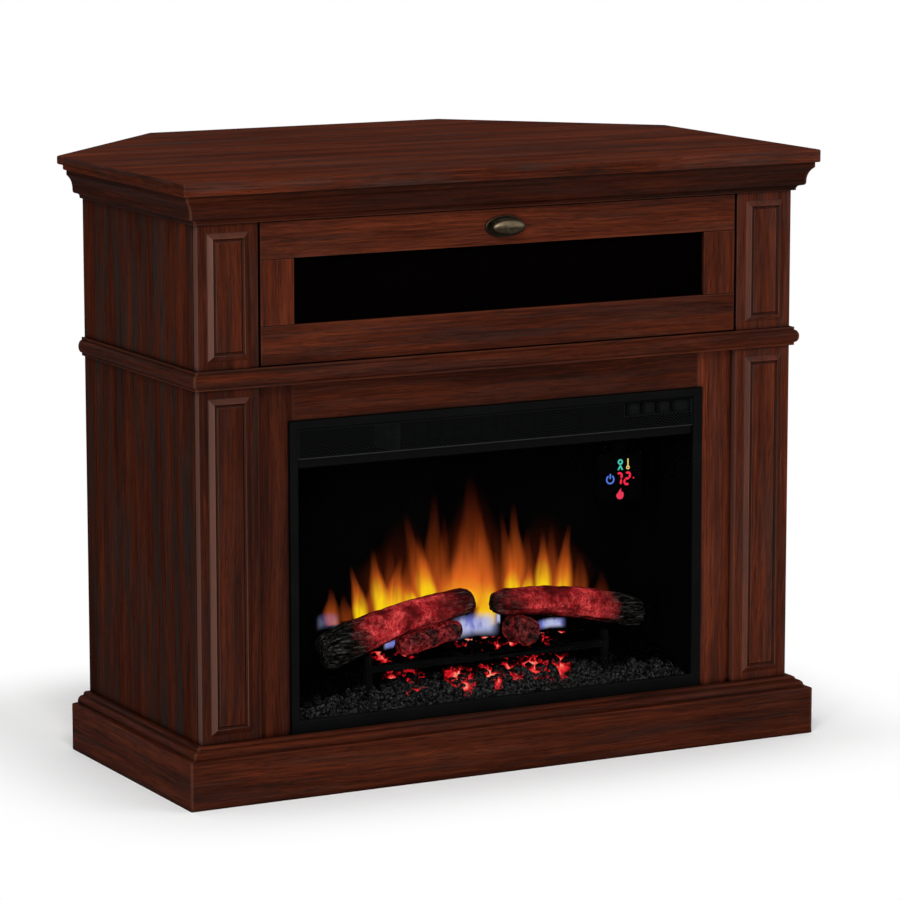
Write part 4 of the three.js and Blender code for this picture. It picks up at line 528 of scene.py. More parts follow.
def coal(name):
    """Grey ash, darkened by painted shade towards the back of the bed. The warmth
    attribute is high in the gaps between the coals, where the light comes through."""
    fire = setting("fire")
    r = Recipe(name)
    warmth = r.node("ShaderNodeAttribute", attribute_name="warmth").outputs["Fac"]
    grit = r.noise(r.place, scale=230, detail=6, roughness=0.8)
    ash = r.ramp(grit, [(0.42, (0.0004, 0.0004, 0.0004)), (0.53, (0.012, 0.012, 0.0118)),
                        (0.68, (0.12, 0.12, 0.118))])
    # Painted shade: the ash keeps most of its colour in front and little at the back.
    front = r.step(r.axis("Y"), -0.292, -0.314, 0.04, 0.85)
    ash_in_painted_shade = r.node("ShaderNodeVectorMath", {0: ash, "Scale": front}, operation="SCALE").outputs[0]
    cloud = r.noise(r.place, scale=70, detail=4, roughness=0.65, distortion=0.5)
    heat = r.sum("MULTIPLY_ADD", r.sum("SUBTRACT", cloud, 0.5), 1.6, warmth)
    light = r.step(heat, 0.45, 0.8)
    core = r.step(heat, 0.75, 1.2)
    threads = r.sum("MULTIPLY", fine_lines(r, r.place, 42, 0.045, 3, 1.4), r.step(warmth, 0.01, 0.15))
    haze = r.sum("MULTIPLY", r.step(warmth, 0.0, 0.6), 0.12)
    hot = r.blend(core, tint(fire.ember_glow), (1.0, 0.3, 0.2))
    emitted = r.blend(r.sum("MAXIMUM", haze, r.sum("MAXIMUM", light, r.sum(
        "MULTIPLY", threads, 0.85))), (0.0, 0.0, 0.0), hot)
    return r.finish(
        Base_Color=ash_in_painted_shade, Roughness=0.9, Specular_IOR_Level=0.0, Emission_Color=emitted,
        Emission_Strength=1.0, Normal=r.bump(grit, 0.002, 0.8))


def ember_log(name):
    """A small log that glows dully through a knobbly crust."""
    fire = setting("fire")
    r = Recipe(name)
    warmth = r.node("ShaderNodeAttribute", attribute_name="warmth").outputs["Fac"]
    crust = r.noise(r.place, scale=150, detail=5, roughness=0.7)
    cloud = r.noise(r.place, scale=45, detail=3, roughness=0.6)
    light = r.sum("MULTIPLY", warmth, r.sum(
        "MULTIPLY", r.step(crust, 0.38, 0.66, 0.12, 1.0), r.step(cloud, 0.36, 0.62, 0.1, 1.0)))
    threads = r.sum("MULTIPLY", fine_lines(r, r.place, 90, 0.035, 3, 1.2), warmth)
    glow = r.blend(threads, tint(fire.log_glow), (0.9, 0.08, 0.07))
    char = r.ramp(crust, [(0.4, (0.002, 0.0014, 0.0014)), (0.7, (0.03, 0.024, 0.023))])
    return r.finish(
        Base_Color=char, Roughness=0.9, Specular_IOR_Level=0.0, Emission_Strength=1.0,
        Emission_Color=r.blend(light, (0.0, 0.0, 0.0), glow), Normal=r.bump(crust, 0.002, 0.8))


def flame_light():
    """Light of a flame: u runs across it, v from its root to its tip, and the
    warmth attribute says how bright the whole tongue is."""
    fire = setting("fire")
    r = Recipe("flame_light")
    uv = r.node("ShaderNodeUVMap").outputs["UV"]
    u, v = r.axis("X", uv), r.axis("Y", uv)
    warmth = r.node("ShaderNodeAttribute", attribute_name="warmth").outputs["Fac"]
    wisps = r.noise(r.stretched((90, 1, 9)), detail=3, roughness=0.5, distortion=0.4)
    edge = r.sum("SUBTRACT", 1.0, r.sum("ABSOLUTE", r.sum("MULTIPLY_ADD", u, 2.0, -1.0)))
    across = r.step(edge, 0.02, 0.72)
    upward = r.sum("MULTIPLY", r.step(v, 0.0, 0.06), r.step(v, 0.98, 0.04))
    veil = r.sum("MULTIPLY", r.sum("MULTIPLY", across, upward), r.step(wisps, 0.25, 0.6, 0.6, 1.0))
    hot = r.sum("MULTIPLY", warmth, r.step(v, 1.0, 0.05, 0.2, 1.12))
    rim = r.sum("MULTIPLY", r.step(edge, 0.1, 0.3), r.step(edge, 0.55, 0.3))
    core = r.sum("MULTIPLY_ADD", rim, 0.06, r.sum("MULTIPLY", hot, r.sum(
        "MULTIPLY_ADD", across, 0.4, 0.65)))
    shade = r.ramp(core, [(0.08, tint(fire.flame_tip)), (0.55, tint(fire.flame_middle)),
                          (0.92, tint(fire.flame_root))])
    opacity = r.sum("MULTIPLY", veil, r.step(warmth, 0.05, 0.85, 0.06, 1.0))
    return r.finish(Base_Color=(0.0, 0.0, 0.0), Specular_IOR_Level=0.0, Roughness=1.0,
                    Emission_Color=shade, Emission_Strength=1.0, Alpha=opacity)


def gas_light():
    """Blue-white glow low behind the logs."""
    fire = setting("fire")
    r = Recipe("gas_light")
    uv = r.node("ShaderNodeUVMap").outputs["UV"]
    u, v = r.axis("X", uv), r.axis("Y", uv)
    ring = r.sum("SUBTRACT", 1.0, r.sum("ABSOLUTE", r.sum("MULTIPLY_ADD", u, 2.0, -1.0)))
    rise = r.sum("SUBTRACT", 1.0, r.sum("ABSOLUTE", r.sum("MULTIPLY_ADD", v, 2.0, -1.0)))
    soft = r.sum("MULTIPLY", r.step(ring, 0.0, 0.55), r.step(rise, 0.0, 0.8))
    wisps = r.noise(r.stretched((50, 1, 30)), detail=3)
    white = r.blend(r.step(wisps, 0.36, 0.6, 0.1, 1.0), tint(fire.gas_glow), (0.62, 0.66, 1.0))
    return r.finish(Base_Color=(0.0, 0.0, 0.0), Specular_IOR_Level=0.0, Roughness=1.0,
                    Emission_Color=white, Emission_Strength=0.8,
                    Alpha=r.sum("MULTIPLY", soft, r.step(r.axis("X"), -0.22, -0.15, 0.2, 0.95)))


# ------------------------------------------------------------- mesh helpers


def piece(name, mesh, material, body, replaced=()):
    """A finished object that rides on a body of the frame."""
    made = bpy.data.objects.new(name, mesh)
    bpy.context.scene.collection.objects.link(made)
    mesh.materials.clear()
    mesh.materials.append(material)
    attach(made, body)
    if replaced:
        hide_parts(*replaced)
    return made


def mesh_of(name, points, faces, smooth=False):
    mesh = bpy.data.meshes.new(name)
    mesh.from_pydata([tuple(p) for p in points], [], faces)
    mesh.validate()
    mesh.polygons.foreach_set("use_smooth", [smooth] * len(mesh.polygons))
    mesh.update()
    return mesh


def mesh_from(name, build, smooth=False):
    """A mesh drawn by build(bm), with its faces turned outward."""
    bm = bmesh.new()
    build(bm)
    bmesh.ops.recalc_face_normals(bm, faces=bm.faces)
    mesh = bpy.data.meshes.new(name)
    bm.to_mesh(mesh)
    bm.free()
    mesh.polygons.foreach_set("use_smooth", [smooth] * len(mesh.polygons))
    mesh.update()
    return mesh


def add_box(bm, low, high):
    middle = [(a + b) / 2 for a, b in zip(low, high)]
    size = [b - a for a, b in zip(low, high)]
    place = Matrix.Translation(middle) @ Matrix.Diagonal((*size, 1))
    return bmesh.ops.create_cube(bm, size=1, matrix=place)["verts"]


def add_prism(bm, outline, back, front):
    """A flat outline in x and z, between y = front and y = back."""
    rows = [[bm.verts.new((x, y, z)) for x, z in outline] for y in (front, back)]
    bm.faces.new(rows[0])
    bm.faces.new(rows[1][::-1])
    for i in range(len(outline)):
        j = (i + 1) % len(outline)
        bm.faces.new((rows[0][i], rows[1][i], rows[1][j], rows[0][j]))


def soft_edge_group():
    """Node group that joins the frame's split faces and smooths its curves."""
    found = bpy.data.node_groups.get("soft_edges")
    if found:
        return found
    group = bpy.data.node_groups.new("soft_edges", "GeometryNodeTree")
    group.interface.new_socket("Geometry", in_out="INPUT", socket_type="NodeSocketGeometry")
    group.interface.new_socket("Geometry", in_out="OUTPUT", socket_type="NodeSocketGeometry")
    nodes, links = group.nodes, group.links
    start, end = nodes.new("NodeGroupInput"), nodes.new("NodeGroupOutput")
    bare = nodes.new("GeometryNodeRemoveAttribute")
    bare.inputs["Name"].default_value = "custom_normal"
    joined = nodes.new("GeometryNodeMergeByDistance")
    joined.inputs["Distance"].default_value = 2e-5
    smooth = nodes.new("GeometryNodeSetShadeSmooth")
    smooth.domain = "FACE"
    angle = nodes.new("GeometryNodeInputMeshEdgeAngle")
    sharp = nodes.new("FunctionNodeCompare")
    sharp.operation = "GREATER_THAN"
    sharp.inputs["B"].default_value = math.radians(28)
    crease = nodes.new("GeometryNodeSetShadeSmooth")
    crease.domain = "EDGE"
    crease.inputs["Shade Smooth"].default_value = False
    for a, b in ((start.outputs[0], bare.inputs["Geometry"]),
                 (bare.outputs[0], joined.inputs["Geometry"]),
                 (joined.outputs[0], smooth.inputs["Geometry"]),
                 (smooth.outputs[0], crease.inputs["Geometry"]),
                 (angle.outputs["Unsigned Angle"], sharp.inputs["A"]),
                 (sharp.outputs[0], crease.inputs["Selection"]),
                 (crease.outputs[0], end.inputs[0])):
        links.new(a, b)
    return group


def dress(node, material, edge=0.0):
    """Gives a frame node its material and, where edge isn't 0, eased edges."""
    thing = NODES[node]
    thing.data.materials.clear()
    thing.data.materials.append(material)
    modifier = thing.modifiers.new("soft_edges", "NODES")
    modifier.node_group = soft_edge_group()
    if edge:
        bevel = thing.modifiers.new("eased", "BEVEL")
        bevel.width = edge
        bevel.segments = 2
        bevel.limit_method = "ANGLE"
        bevel.angle_limit = math.radians(35)
        bevel.harden_normals = True
    return thing


# ------------------------------------------------------------------- stage


class FIREPLACE_OT_stage(bpy.types.Operator):
    """Sets the camera, the floor, the lamps and the even light"""
    bl_idname = "fireplace.stage"
    bl_label = "Stage"

    def execute(self, context):
        place_camera()
        lay_floor()
        hang_lamps()
        even_light()
        context.scene.view_settings.view_transform = "Standard"
        return {"FINISHED"}


def place_camera():
    stage = setting("stage")
    data = bpy.data.cameras.new("camera")
    data.lens = stage.lens
    data.sensor_width = 36
    data.clip_end = 60
    camera = bpy.data.objects.new("camera", data)
    turn = Matrix.Rotation(stage.camera_yaw, 4, "Z")
    tilt = Matrix.Rotation(math.pi / 2 - stage.camera_pitch, 4, "X")
    roll = Matrix.Rotation(stage.camera_roll, 4, "Z")
    camera.matrix_world = Matrix.Translation(stage.camera_place) @ turn @ tilt @ roll
    bpy.context.scene.collection.objects.link(camera)
    bpy.context.scene.camera = camera


def lay_floor():
    """Pale floor that keeps the shadow and fades to white far away."""
    reach = 14.0
    corners = [(-reach, -reach, 0), (reach, -reach, 0), (reach, reach, 0), (-reach, reach, 0)]
    mesh = mesh_of("floor", corners, [(0, 1, 2, 3)])
    floor = bpy.data.objects.new("floor", mesh)
    bpy.context.scene.collection.objects.link(floor)
    r = Recipe("pale_floor")
    mottle = r.noise(r.place, scale=6, detail=4)
    plain = r.ramp(mottle, [(0.3, (0.93, 0.93, 0.93)), (0.7, (0.95, 0.95, 0.95))])
    near = r.node("ShaderNodeBsdfDiffuse", {"Color": plain})
    far = r.node("ShaderNodeEmission", {"Color": (1, 1, 1, 1), "Strength": 1.0})
    beyond = [r.sum("MAXIMUM", r.sum("SUBTRACT", r.sum("ABSOLUTE", r.axis(axis)), reach), 0.0)
              for axis, reach in (("X", CAD_BOX[1][0]), ("Y", CAD_BOX[1][1]))]
    distance = r.sum("SQRT", r.sum("ADD", *[r.sum("MULTIPLY", d, d) for d in beyond]))
    seen = r.node("ShaderNodeLightPath").outputs["Is Camera Ray"]
    fade = r.sum("MULTIPLY", r.step(distance, 0.0, 0.3), seen)
    mix = r.node("ShaderNodeMixShader", {0: fade, 1: near.outputs[0], 2: far.outputs[0]})
    output = r.node("ShaderNodeOutputMaterial")
    r.tree.links.new(mix.outputs[0], output.inputs["Surface"])
    mesh.materials.append(r.material)


def hang_lamps():
    lamps = {
        "key": ((-1.7, -3.6, 3.4), (0.0, 0.0, 0.55), 1.9, 1.5, 118),
        "bevel_strip": ((-3.1, -3.4, 1.0), (0.0, -0.3, 0.5), 0.3, 1.6, 60),
        "right_fill": ((3.4, -3.0, 1.6), (0.0, 0.0, 0.5), 1.6, 1.6, 36),
        "overhead": ((0.2, 0.3, 3.6), (0.0, 0.0, 0.9), 2.6, 1.8, 46),
    }
    for name, (place, target, width, height, power) in lamps.items():
        data = bpy.data.lights.new(name, "AREA")
        data.shape = "RECTANGLE"
        data.size, data.size_y, data.energy = width, height, power
        lamp = bpy.data.objects.new(name, data)
        lamp.location = place
        aim = Vector(target) - Vector(place)
        lamp.rotation_euler = aim.to_track_quat("-Z", "Y").to_euler()
        bpy.context.scene.collection.objects.link(lamp)


def even_light():
    """World light: plain for the object, white where it is seen."""
    stage = setting("stage")
    world = bpy.data.worlds.new("studio")
    bpy.context.scene.world = world
    world.use_nodes = True
    tree = world.node_tree
    tree.nodes.clear()
    path = tree.nodes.new("ShaderNodeLightPath")
    seen = path.outputs["Is Camera Ray"]
    for ray in ("Is Glossy Ray", "Is Transmission Ray"):
        either = tree.nodes.new("ShaderNodeMath")
        either.operation = "MAXIMUM"
        tree.links.new(seen, either.inputs[0])
        tree.links.new(path.outputs[ray], either.inputs[1])
        seen = either.outputs[0]
    level = tree.nodes.new("ShaderNodeMapRange")
    level.inputs["To Min"].default_value = stage.ambient
    level.inputs["To Max"].default_value = 1.0
    tree.links.new(seen, level.inputs["Value"])
    light = tree.nodes.new("ShaderNodeBackground")
    light.inputs["Color"].default_value = (1, 1, 1, 1)
    tree.links.new(level.outputs[0], light.inputs["Strength"])
    output = tree.nodes.new("ShaderNodeOutputWorld")
    tree.links.new(light.outputs[0], output.inputs["Surface"])


# ----------------------------------------------------------------- cabinet


# How each board or pair of boards differs from the plain stain in glaze, sheen and grain. Its shade is
# painted light and shade for each board and tier, and its bevel share a painted highlight on the bevels.
STAIN_AND_PAINTED_LIGHT = {
    "side_panel": {"glaze": 0.95, "shade": (0.66, 0.78), "sheen": 0.012},
    "pilaster": {"glaze": 0.4, "shade": (0.55, 0.66), "sheen": 0.05, "bevel_highlight": 0.34},
    "pilaster_right": {"shade": (1.0, 1.05), "bevel_highlight": 0.2},
    "surround_stile_left": {"shade": (0.52, 0.52), "glaze": 0.2},
    "surround_stile_right": {"shade": (1.22, 1.22), "glaze": 0.2},
    "surround_rail": {"shade": (0.58, 0.58)},
    "door_stile_left": {"shade": (0.98, 0.98), "glaze": 0.12},
    "door_stile_right": {"shade": (0.76, 0.76), "glaze": 0.2},
    "door_top_rail": {"shade": (0.92, 0.92), "glaze": 0.2},
    "door_bottom_rail": {"shade": (0.84, 0.84)},
    "crown": {"shade": (0.46, 0.46)},
    "waist": {"shade": (0.7, 0.7)},
    "plinth": {"shade": (0.74, 0.74)},
    "top_slab": {"glaze": 0.5, "shade": (1.1, 1.1), "sheen": 0.008, "banded": True},
    "corner_wedge": {"glaze": 0.6, "shade": (1.1, 1.1), "sheen": 0.008, "banded": True},
}


class FIREPLACE_OT_cabinet(bpy.types.Operator):
    """Stains every board and moulding of the cabinet along its own grain"""
    bl_idname = "fireplace.cabinet"
    bl_label = "Cabinet wood"

    def execute(self, context):
        edge = setting("wood").edge
        boards = [(n, "z") for n in UPRIGHT] + [(n, "x") for n in LEVEL]
        boards += [(n, "y") for n in FORE_AND_AFT]
        for seed, (node, grain) in enumerate(boards, 3):
            look = STAIN_AND_PAINTED_LIGHT.get(node.rsplit("_", 1)[0], {}) | STAIN_AND_PAINTED_LIGHT.get(node, {})
            dress(node, cherry("cherry_" + node, grain, seed, **look), edge)
        board = raw_board()
        dress("base_panel", board, edge)
        dress("back_panel", board, edge)
        return {"FINISHED"}


# -------------------------------------------------------------- media door


class FIREPLACE_OT_media_door(bpy.types.Operator):
    """Fits the dark glass and the oval brass pull of the media door"""
    bl_idname = "fireplace.media_door"
    bl_label = "Media door"

    def execute(self, context):
        dress("door_glass", door_glass())
        turn_pull()
        return {"FINISHED"}


def turned_oval(name, profile, centre, half_width, half_height, sides=48):
    """A profile of (share of the radius, distance in front) turned about the
    knob's axis and stretched to an oval."""
    points = []
    for share, out in profile:
        for k in range(sides):
            angle = 2 * math.pi * k / sides
            points.append((centre.x + half_width * share * math.cos(angle), centre.y - out,
                           centre.z + half_height * share * math.sin(angle)))
    faces = []
    for ring in range(len(profile) - 1):
        for k in range(sides):
            a, b = ring * sides + k, ring * sides + (k + 1) % sides
            faces.append((a, b, b + sides, a + sides))
    last = (len(profile) - 1) * sides
    faces.append(tuple(range(sides))[::-1])
    faces.append(tuple(range(last, last + sides)))
    mesh = mesh_of(name, points, faces, smooth=True)
    bm = bmesh.new()
    bm.from_mesh(mesh)
    bmesh.ops.recalc_face_normals(bm, faces=bm.faces)
    bm.to_mesh(mesh)
    bm.free()
    return mesh


def turn_pull():
    """Mushroom pull on a dished back plate with a beaded rim."""
    low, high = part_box("door_knob")
    centre = Vector(((low.x + high.x) / 2, high.y, (low.z + high.z) / 2))
    half_width, half_height = (high.x - low.x) / 2, (high.z - low.z) / 2
    reach = high.y - low.y
    plate = [(1.0, 0.0), (1.0, 0.8 * MM), (0.975, 1.7 * MM), (0.93, 2.3 * MM), (0.89, 1.8 * MM),
             (0.85, 1.4 * MM), (0.7, 1.6 * MM), (0.5, 2.2 * MM), (0.3, 2.4 * MM)]
    knob_wide, knob_high = 29 * MM, 12.5 * MM
    neck = 2.0 * MM
    knob = [(0.44, neck), (0.38, neck + 2 * MM), (0.33, neck + 5 * MM), (0.36, neck + 7.5 * MM),
            (0.5, neck + 9.2 * MM), (0.82, neck + 10.3 * MM), (0.95, neck + 11.3 * MM),
            (0.995, neck + 12.8 * MM), (0.985, neck + 14.3 * MM), (0.93, neck + 16 * MM),
            (0.82, neck + 17.8 * MM), (0.66, neck + 19.4 * MM), (0.45, neck + 20.7 * MM),
            (0.2, reach - 0.6 * MM), (0.03, reach - 0.3 * MM)]
    dull = brass("brass_plate", (0.012, 0.009, 0.006), (0.06, 0.045, 0.028), 0.42)
    rubbed_and_painted_light = brass("brass_knob", (0.02, 0.015, 0.009), (0.17, 0.13, 0.08), 0.33)
    backplate = piece("pull_backplate", turned_oval(
        "pull_backplate", plate, centre, half_width, half_height), dull,
        "media_door", ["door_knob"])
    pull = piece("pull_knob", turned_oval("pull_knob", knob, centre, knob_wide, knob_high),
                 rubbed_and_painted_light, "media_door")
    pull.parent = backplate
    pull.matrix_parent_inverse = backplate.matrix_world.inverted()


# ---------------------------------------------------------------- hardware


class FIREPLACE_OT_hardware(bpy.types.Operator):
    """Plates the hinges, the lid stay and the corner braces"""
    bl_idname = "fireplace.hardware"
    bl_label = "Hardware"

    def execute(self, context):
        zinc = metal("zinc_plate", (0.62, 0.61, 0.57), (0.4, 0.39, 0.36), 0.32)
        dark = metal("black_zinc", (0.012, 0.012, 0.013), (0.006, 0.006, 0.007), 0.5)
        for node in ZINC:
            dress(node, dark if node.startswith("stay") else zinc, 0.3 * MM)
        return {"FINISHED"}


# ----------------------------------------------------------- firebox front


class FIREPLACE_OT_firebox_front(bpy.types.Operator):
    """Builds the trim, the glass, the woven grille and the key pan"""
    bl_idname = "fireplace.firebox_front"
    bl_label = "Firebox front"

    def execute(self, context):
        dress("insert_frame", black_paint("trim_paint", (0.0018, 0.002, 0.0019), 0.4, sheen=0.045),
              0.9 * MM)
        dress("insert_glass", firebox_glass())
        weave_grille()
        keys = black_paint("key_plastic", (0.0015, 0.0015, 0.0017), 0.45, 900, 0.03)
        for node in KEYS:
            dress(node, keys, 0.3 * MM)
        return {"FINISHED"}


def weave_grille():
    """Expanded-metal grille in a folded rim, with the pan for the keys."""
    low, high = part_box("heater_grille")
    first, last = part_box(KEYS[0]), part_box(KEYS[-1])
    rim = 2.2 * MM
    sheet = 1.5 * MM
    pan_low = Vector((first[0].x - 3.5 * MM, low.y, first[0].z - 3 * MM))
    pan_high = Vector((high.x - rim - 1.2 * MM, high.y, last[1].z + 3 * MM))

    def build(bm):
        back = low.y + sheet
        for a, b in (((low.x, low.z), (high.x, low.z + rim)), ((low.x, high.z - rim), (high.x, high.z)),
                     ((low.x, low.z + rim), (low.x + rim, high.z - rim)),
                     ((high.x - rim, low.z + rim), (high.x, high.z - rim))):
            add_box(bm, (a[0], low.y, a[1]), (b[0], back, b[1]))
        add_strands(bm, low, high, rim, pan_low, pan_high)
        add_pan(bm, pan_low, pan_high)

    piece("grille_weave", mesh_from("grille_weave", build),
          grille_paint(low.z + 1.3 * MM), "cabinet", ["heater_grille"])


def add_strands(bm, low, high, rim, pan_low, pan_high):
    """Zigzag strands that meet at their bends, as in expanded metal."""
    pitch, rise, width, thick = 3.4 * MM, 2.7 * MM, 1.15 * MM, 1.1 * MM
    count = int((high.x - low.x - 2 * rim) / pitch)
    rows = int((high.z - low.z - 2 * rim) / rise)
    y0 = low.y + 0.2 * MM
    for row in range(rows):
        middle = low.z + rim + rise * (row + 0.5)
        stretch = []
        for i in range(count + 1):
            x = low.x + rim + pitch * i
            z = middle + (rise / 2 - width / 2) * (1 if (i + row) % 2 else -1)
            beside_pan = x < pan_low.x or middle < pan_low.z
            if beside_pan:
                stretch.append((x, z))
            elif len(stretch) > 1:
                break
        if len(stretch) < 2:
            continue
        rings = []
        for x, z in stretch:
            rings.append([bm.verts.new(p) for p in (
                (x, y0, z - width / 2), (x, y0, z + width / 2),
                (x, y0 + thick, z + width / 2), (x, y0 + thick, z - width / 2))])
        for a, b in zip(rings, rings[1:]):
            for k in range(4):
                bm.faces.new((a[k], b[k], b[(k + 1) % 4], a[(k + 1) % 4]))
        bm.faces.new(rings[0])
        bm.faces.new(rings[-1][::-1])


def add_pan(bm, low, high):
    """Open-fronted pan with a slot round each key."""
    wall = 1.2 * MM
    floor = high.y - wall
    add_box(bm, (low.x - wall, low.y, low.z - wall), (high.x + wall, high.y, low.z))
    add_box(bm, (low.x - wall, low.y, high.z), (high.x + wall, high.y, high.z + wall))
    add_box(bm, (low.x - wall, low.y, low.z), (low.x, high.y, high.z))
    add_box(bm, (high.x, low.y, low.z), (high.x + wall, high.y, high.z))
    left = low.x
    gap = 0.4 * MM
    for key in KEYS:
        key_low, key_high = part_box(key)
        add_box(bm, (left, floor, low.z), (key_low.x - gap, high.y, high.z))
        for a, b in ((low.z, key_low.z - gap), (key_high.z + gap, high.z)):
            add_box(bm, (key_low.x - gap, floor, a), (key_high.x + gap, high.y, b))
        left = key_high.x + gap
    add_box(bm, (left, floor, low.z), (high.x, high.y, high.z))


# ----------------------------------------------------------------- display


# Middle of each lit symbol: x from the cabinet's middle and z over the floor,
# in millimetres.
TIMER_AT = (224.2, 463.5)
THERMOMETER_AT = (238.2, 463.5)
POWER_AT = (205.8, 440.9)
DIGITS_AT = (231.9, 440.4)
FLAME_AT = (224.0, 416.5)


class FIREPLACE_OT_display(bpy.types.Operator):
    """Lights the plain symbols and digits of the display"""
    bl_idname = "fireplace.display"
    bl_label = "Display"

    def execute(self, context):
        lights = setting("display")
        dress("display_panel", black_paint("display_face", (0.0006, 0.0006, 0.0007), 0.3, 400, 0.0), 0.3 * MM)
        low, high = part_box("display_panel")
        face = low.y
        symbols = {
            "symbol_timer": (draw_timer, TIMER_AT, lights.timer),
            "symbol_thermometer": (draw_thermometer, THERMOMETER_AT, lights.thermometer),
            "symbol_power": (draw_power, POWER_AT, lights.power),
            "symbol_digits": (draw_digits, DIGITS_AT, lights.digits),
            "symbol_flame": (draw_flame, FLAME_AT, lights.flame),
        }
        for name, (draw, (x, z), glow) in symbols.items():
            def build(bm, draw=draw, x=x, z=z):
                draw(bm, x * MM, z * MM, face - 0.9 * MM, face - 0.2 * MM)
            piece(name, mesh_from(name, build), lit(name + "_light", tint(glow)),
                  "cabinet")
        return {"FINISHED"}


def arc(cx, cz, radius, start, end, count):
    return [(cx + radius * math.cos(math.radians(start + (end - start) * i / count)),
             cz + radius * math.sin(math.radians(start + (end - start) * i / count)))
            for i in range(count + 1)]


def add_ring(bm, cx, cz, outer, inner, start, end, front, back, count=20):
    """Part of a flat ring, as one prism after another."""
    for i in range(count):
        a = start + (end - start) * i / count
        b = start + (end - start) * (i + 1) / count
        add_prism(bm, arc(cx, cz, outer, a, b, 1) + arc(cx, cz, inner, b, a, 1), back, front)


def draw_timer(bm, x, z, front, back):
    """A round head over a spread foot, like a sand glass seen from the side."""
    add_ring(bm, x, z + 4.4 * MM, 4.6 * MM, 2.2 * MM, 0, 360, front, back)
    add_prism(bm, [(x - 5 * MM, z - 8.5 * MM), (x - 1.2 * MM, z - 1 * MM), (x + 1.2 * MM, z - 1 * MM),
                   (x + 5 * MM, z - 8.5 * MM), (x + 2.4 * MM, z - 8.5 * MM), (x, z - 4 * MM),
                   (x - 2.4 * MM, z - 8.5 * MM)], back, front)


def draw_thermometer(bm, x, z, front, back):
    add_prism(bm, [(x - 0.9 * MM, z - 3 * MM), (x + 0.9 * MM, z - 3 * MM),
                   (x + 0.9 * MM, z + 9 * MM), (x - 0.9 * MM, z + 9 * MM)], back, front)
    add_ring(bm, x, z - 5.4 * MM, 3.1 * MM, 1.5 * MM, 0, 360, front, back)


def draw_power(bm, x, z, front, back):
    add_ring(bm, x, z, 7.6 * MM, 5.4 * MM, 122, 418, front, back, 28)
    add_prism(bm, [(x - 1.1 * MM, z + 1 * MM), (x + 1.1 * MM, z + 1 * MM),
                   (x + 1.1 * MM, z + 9 * MM), (x - 1.1 * MM, z + 9 * MM)], back, front)


def draw_digits(bm, x, z, front, back):
    """Two seven-segment figures, leaning a little, with a dot after them."""
    wide, tall, bar = 8.6 * MM, 9.2 * MM, 1.75 * MM
    segments = {
        "top": ((0, 1), (1, 1)), "middle": ((0, 0), (1, 0)), "foot": ((0, -1), (1, -1)),
        "upper_left": ((0, 0), (0, 1)), "upper_right": ((1, 0), (1, 1)),
        "lower_left": ((0, -1), (0, 0)), "lower_right": ((1, -1), (1, 0)),
    }
    figures = ([("top", "upper_right", "lower_right")],
               [("top", "upper_right", "middle", "lower_left", "foot")])
    lean = 0.12
    for place, (names,) in zip((-14.4 * MM, 0.8 * MM), figures):
        for name in names:
            (a, b), (c, d) = segments[name]
            start = Vector((x + place + a * wide + lean * b * tall, z + b * tall))
            end = Vector((x + place + c * wide + lean * d * tall, z + d * tall))
            run = (end - start).normalized()
            side = Vector((-run.y, run.x)) * bar
            start, end = start + run * bar * 0.2, end - run * bar * 0.2
            add_prism(bm, [tuple(p) for p in (
                start, start + run * bar + side, end - run * bar + side, end,
                end - run * bar - side, start + run * bar - side)], back, front)
    dot = x + 15.5 * MM
    add_prism(bm, [(dot, z - 1 * MM), (dot + 2.4 * MM, z - 1 * MM), (dot + 2.4 * MM, z + 1 * MM),
                   (dot, z + 1 * MM)], back, front)


def draw_flame(bm, x, z, front, back):
    belly = arc(x, z - 2.5 * MM, 6.6 * MM, 160, 380, 16)
    tongue = [(x + 5.2 * MM, z + 3.2 * MM), (x + 2.6 * MM, z + 1.6 * MM), (x + 1.4 * MM, z + 8.5 * MM),
              (x - 1.6 * MM, z + 5 * MM), (x - 3.4 * MM, z + 2.2 * MM)]
    add_prism(bm, belly + tongue, back, front)


# ------------------------------------------------------------------ flames


# Middle x and z, width and height of each blue patch, in millimetres.
GAS_PATCHES = [
    (13, 202, 92, 44),
    (152, 193, 60, 20),
    (-138, 188, 30, 17),
    (-250, 236, 44, 30),
    (55, 211, 8, 22),
]


class FIREPLACE_OT_flames(bpy.types.Operator):
    """Shapes the flame light that stands on the screen behind the logs"""
    bl_idname = "fireplace.flames"
    bl_label = "Flames"

    def execute(self, context):
        shape_flames()
        shape_gas_glow()
        return {"FINISHED"}


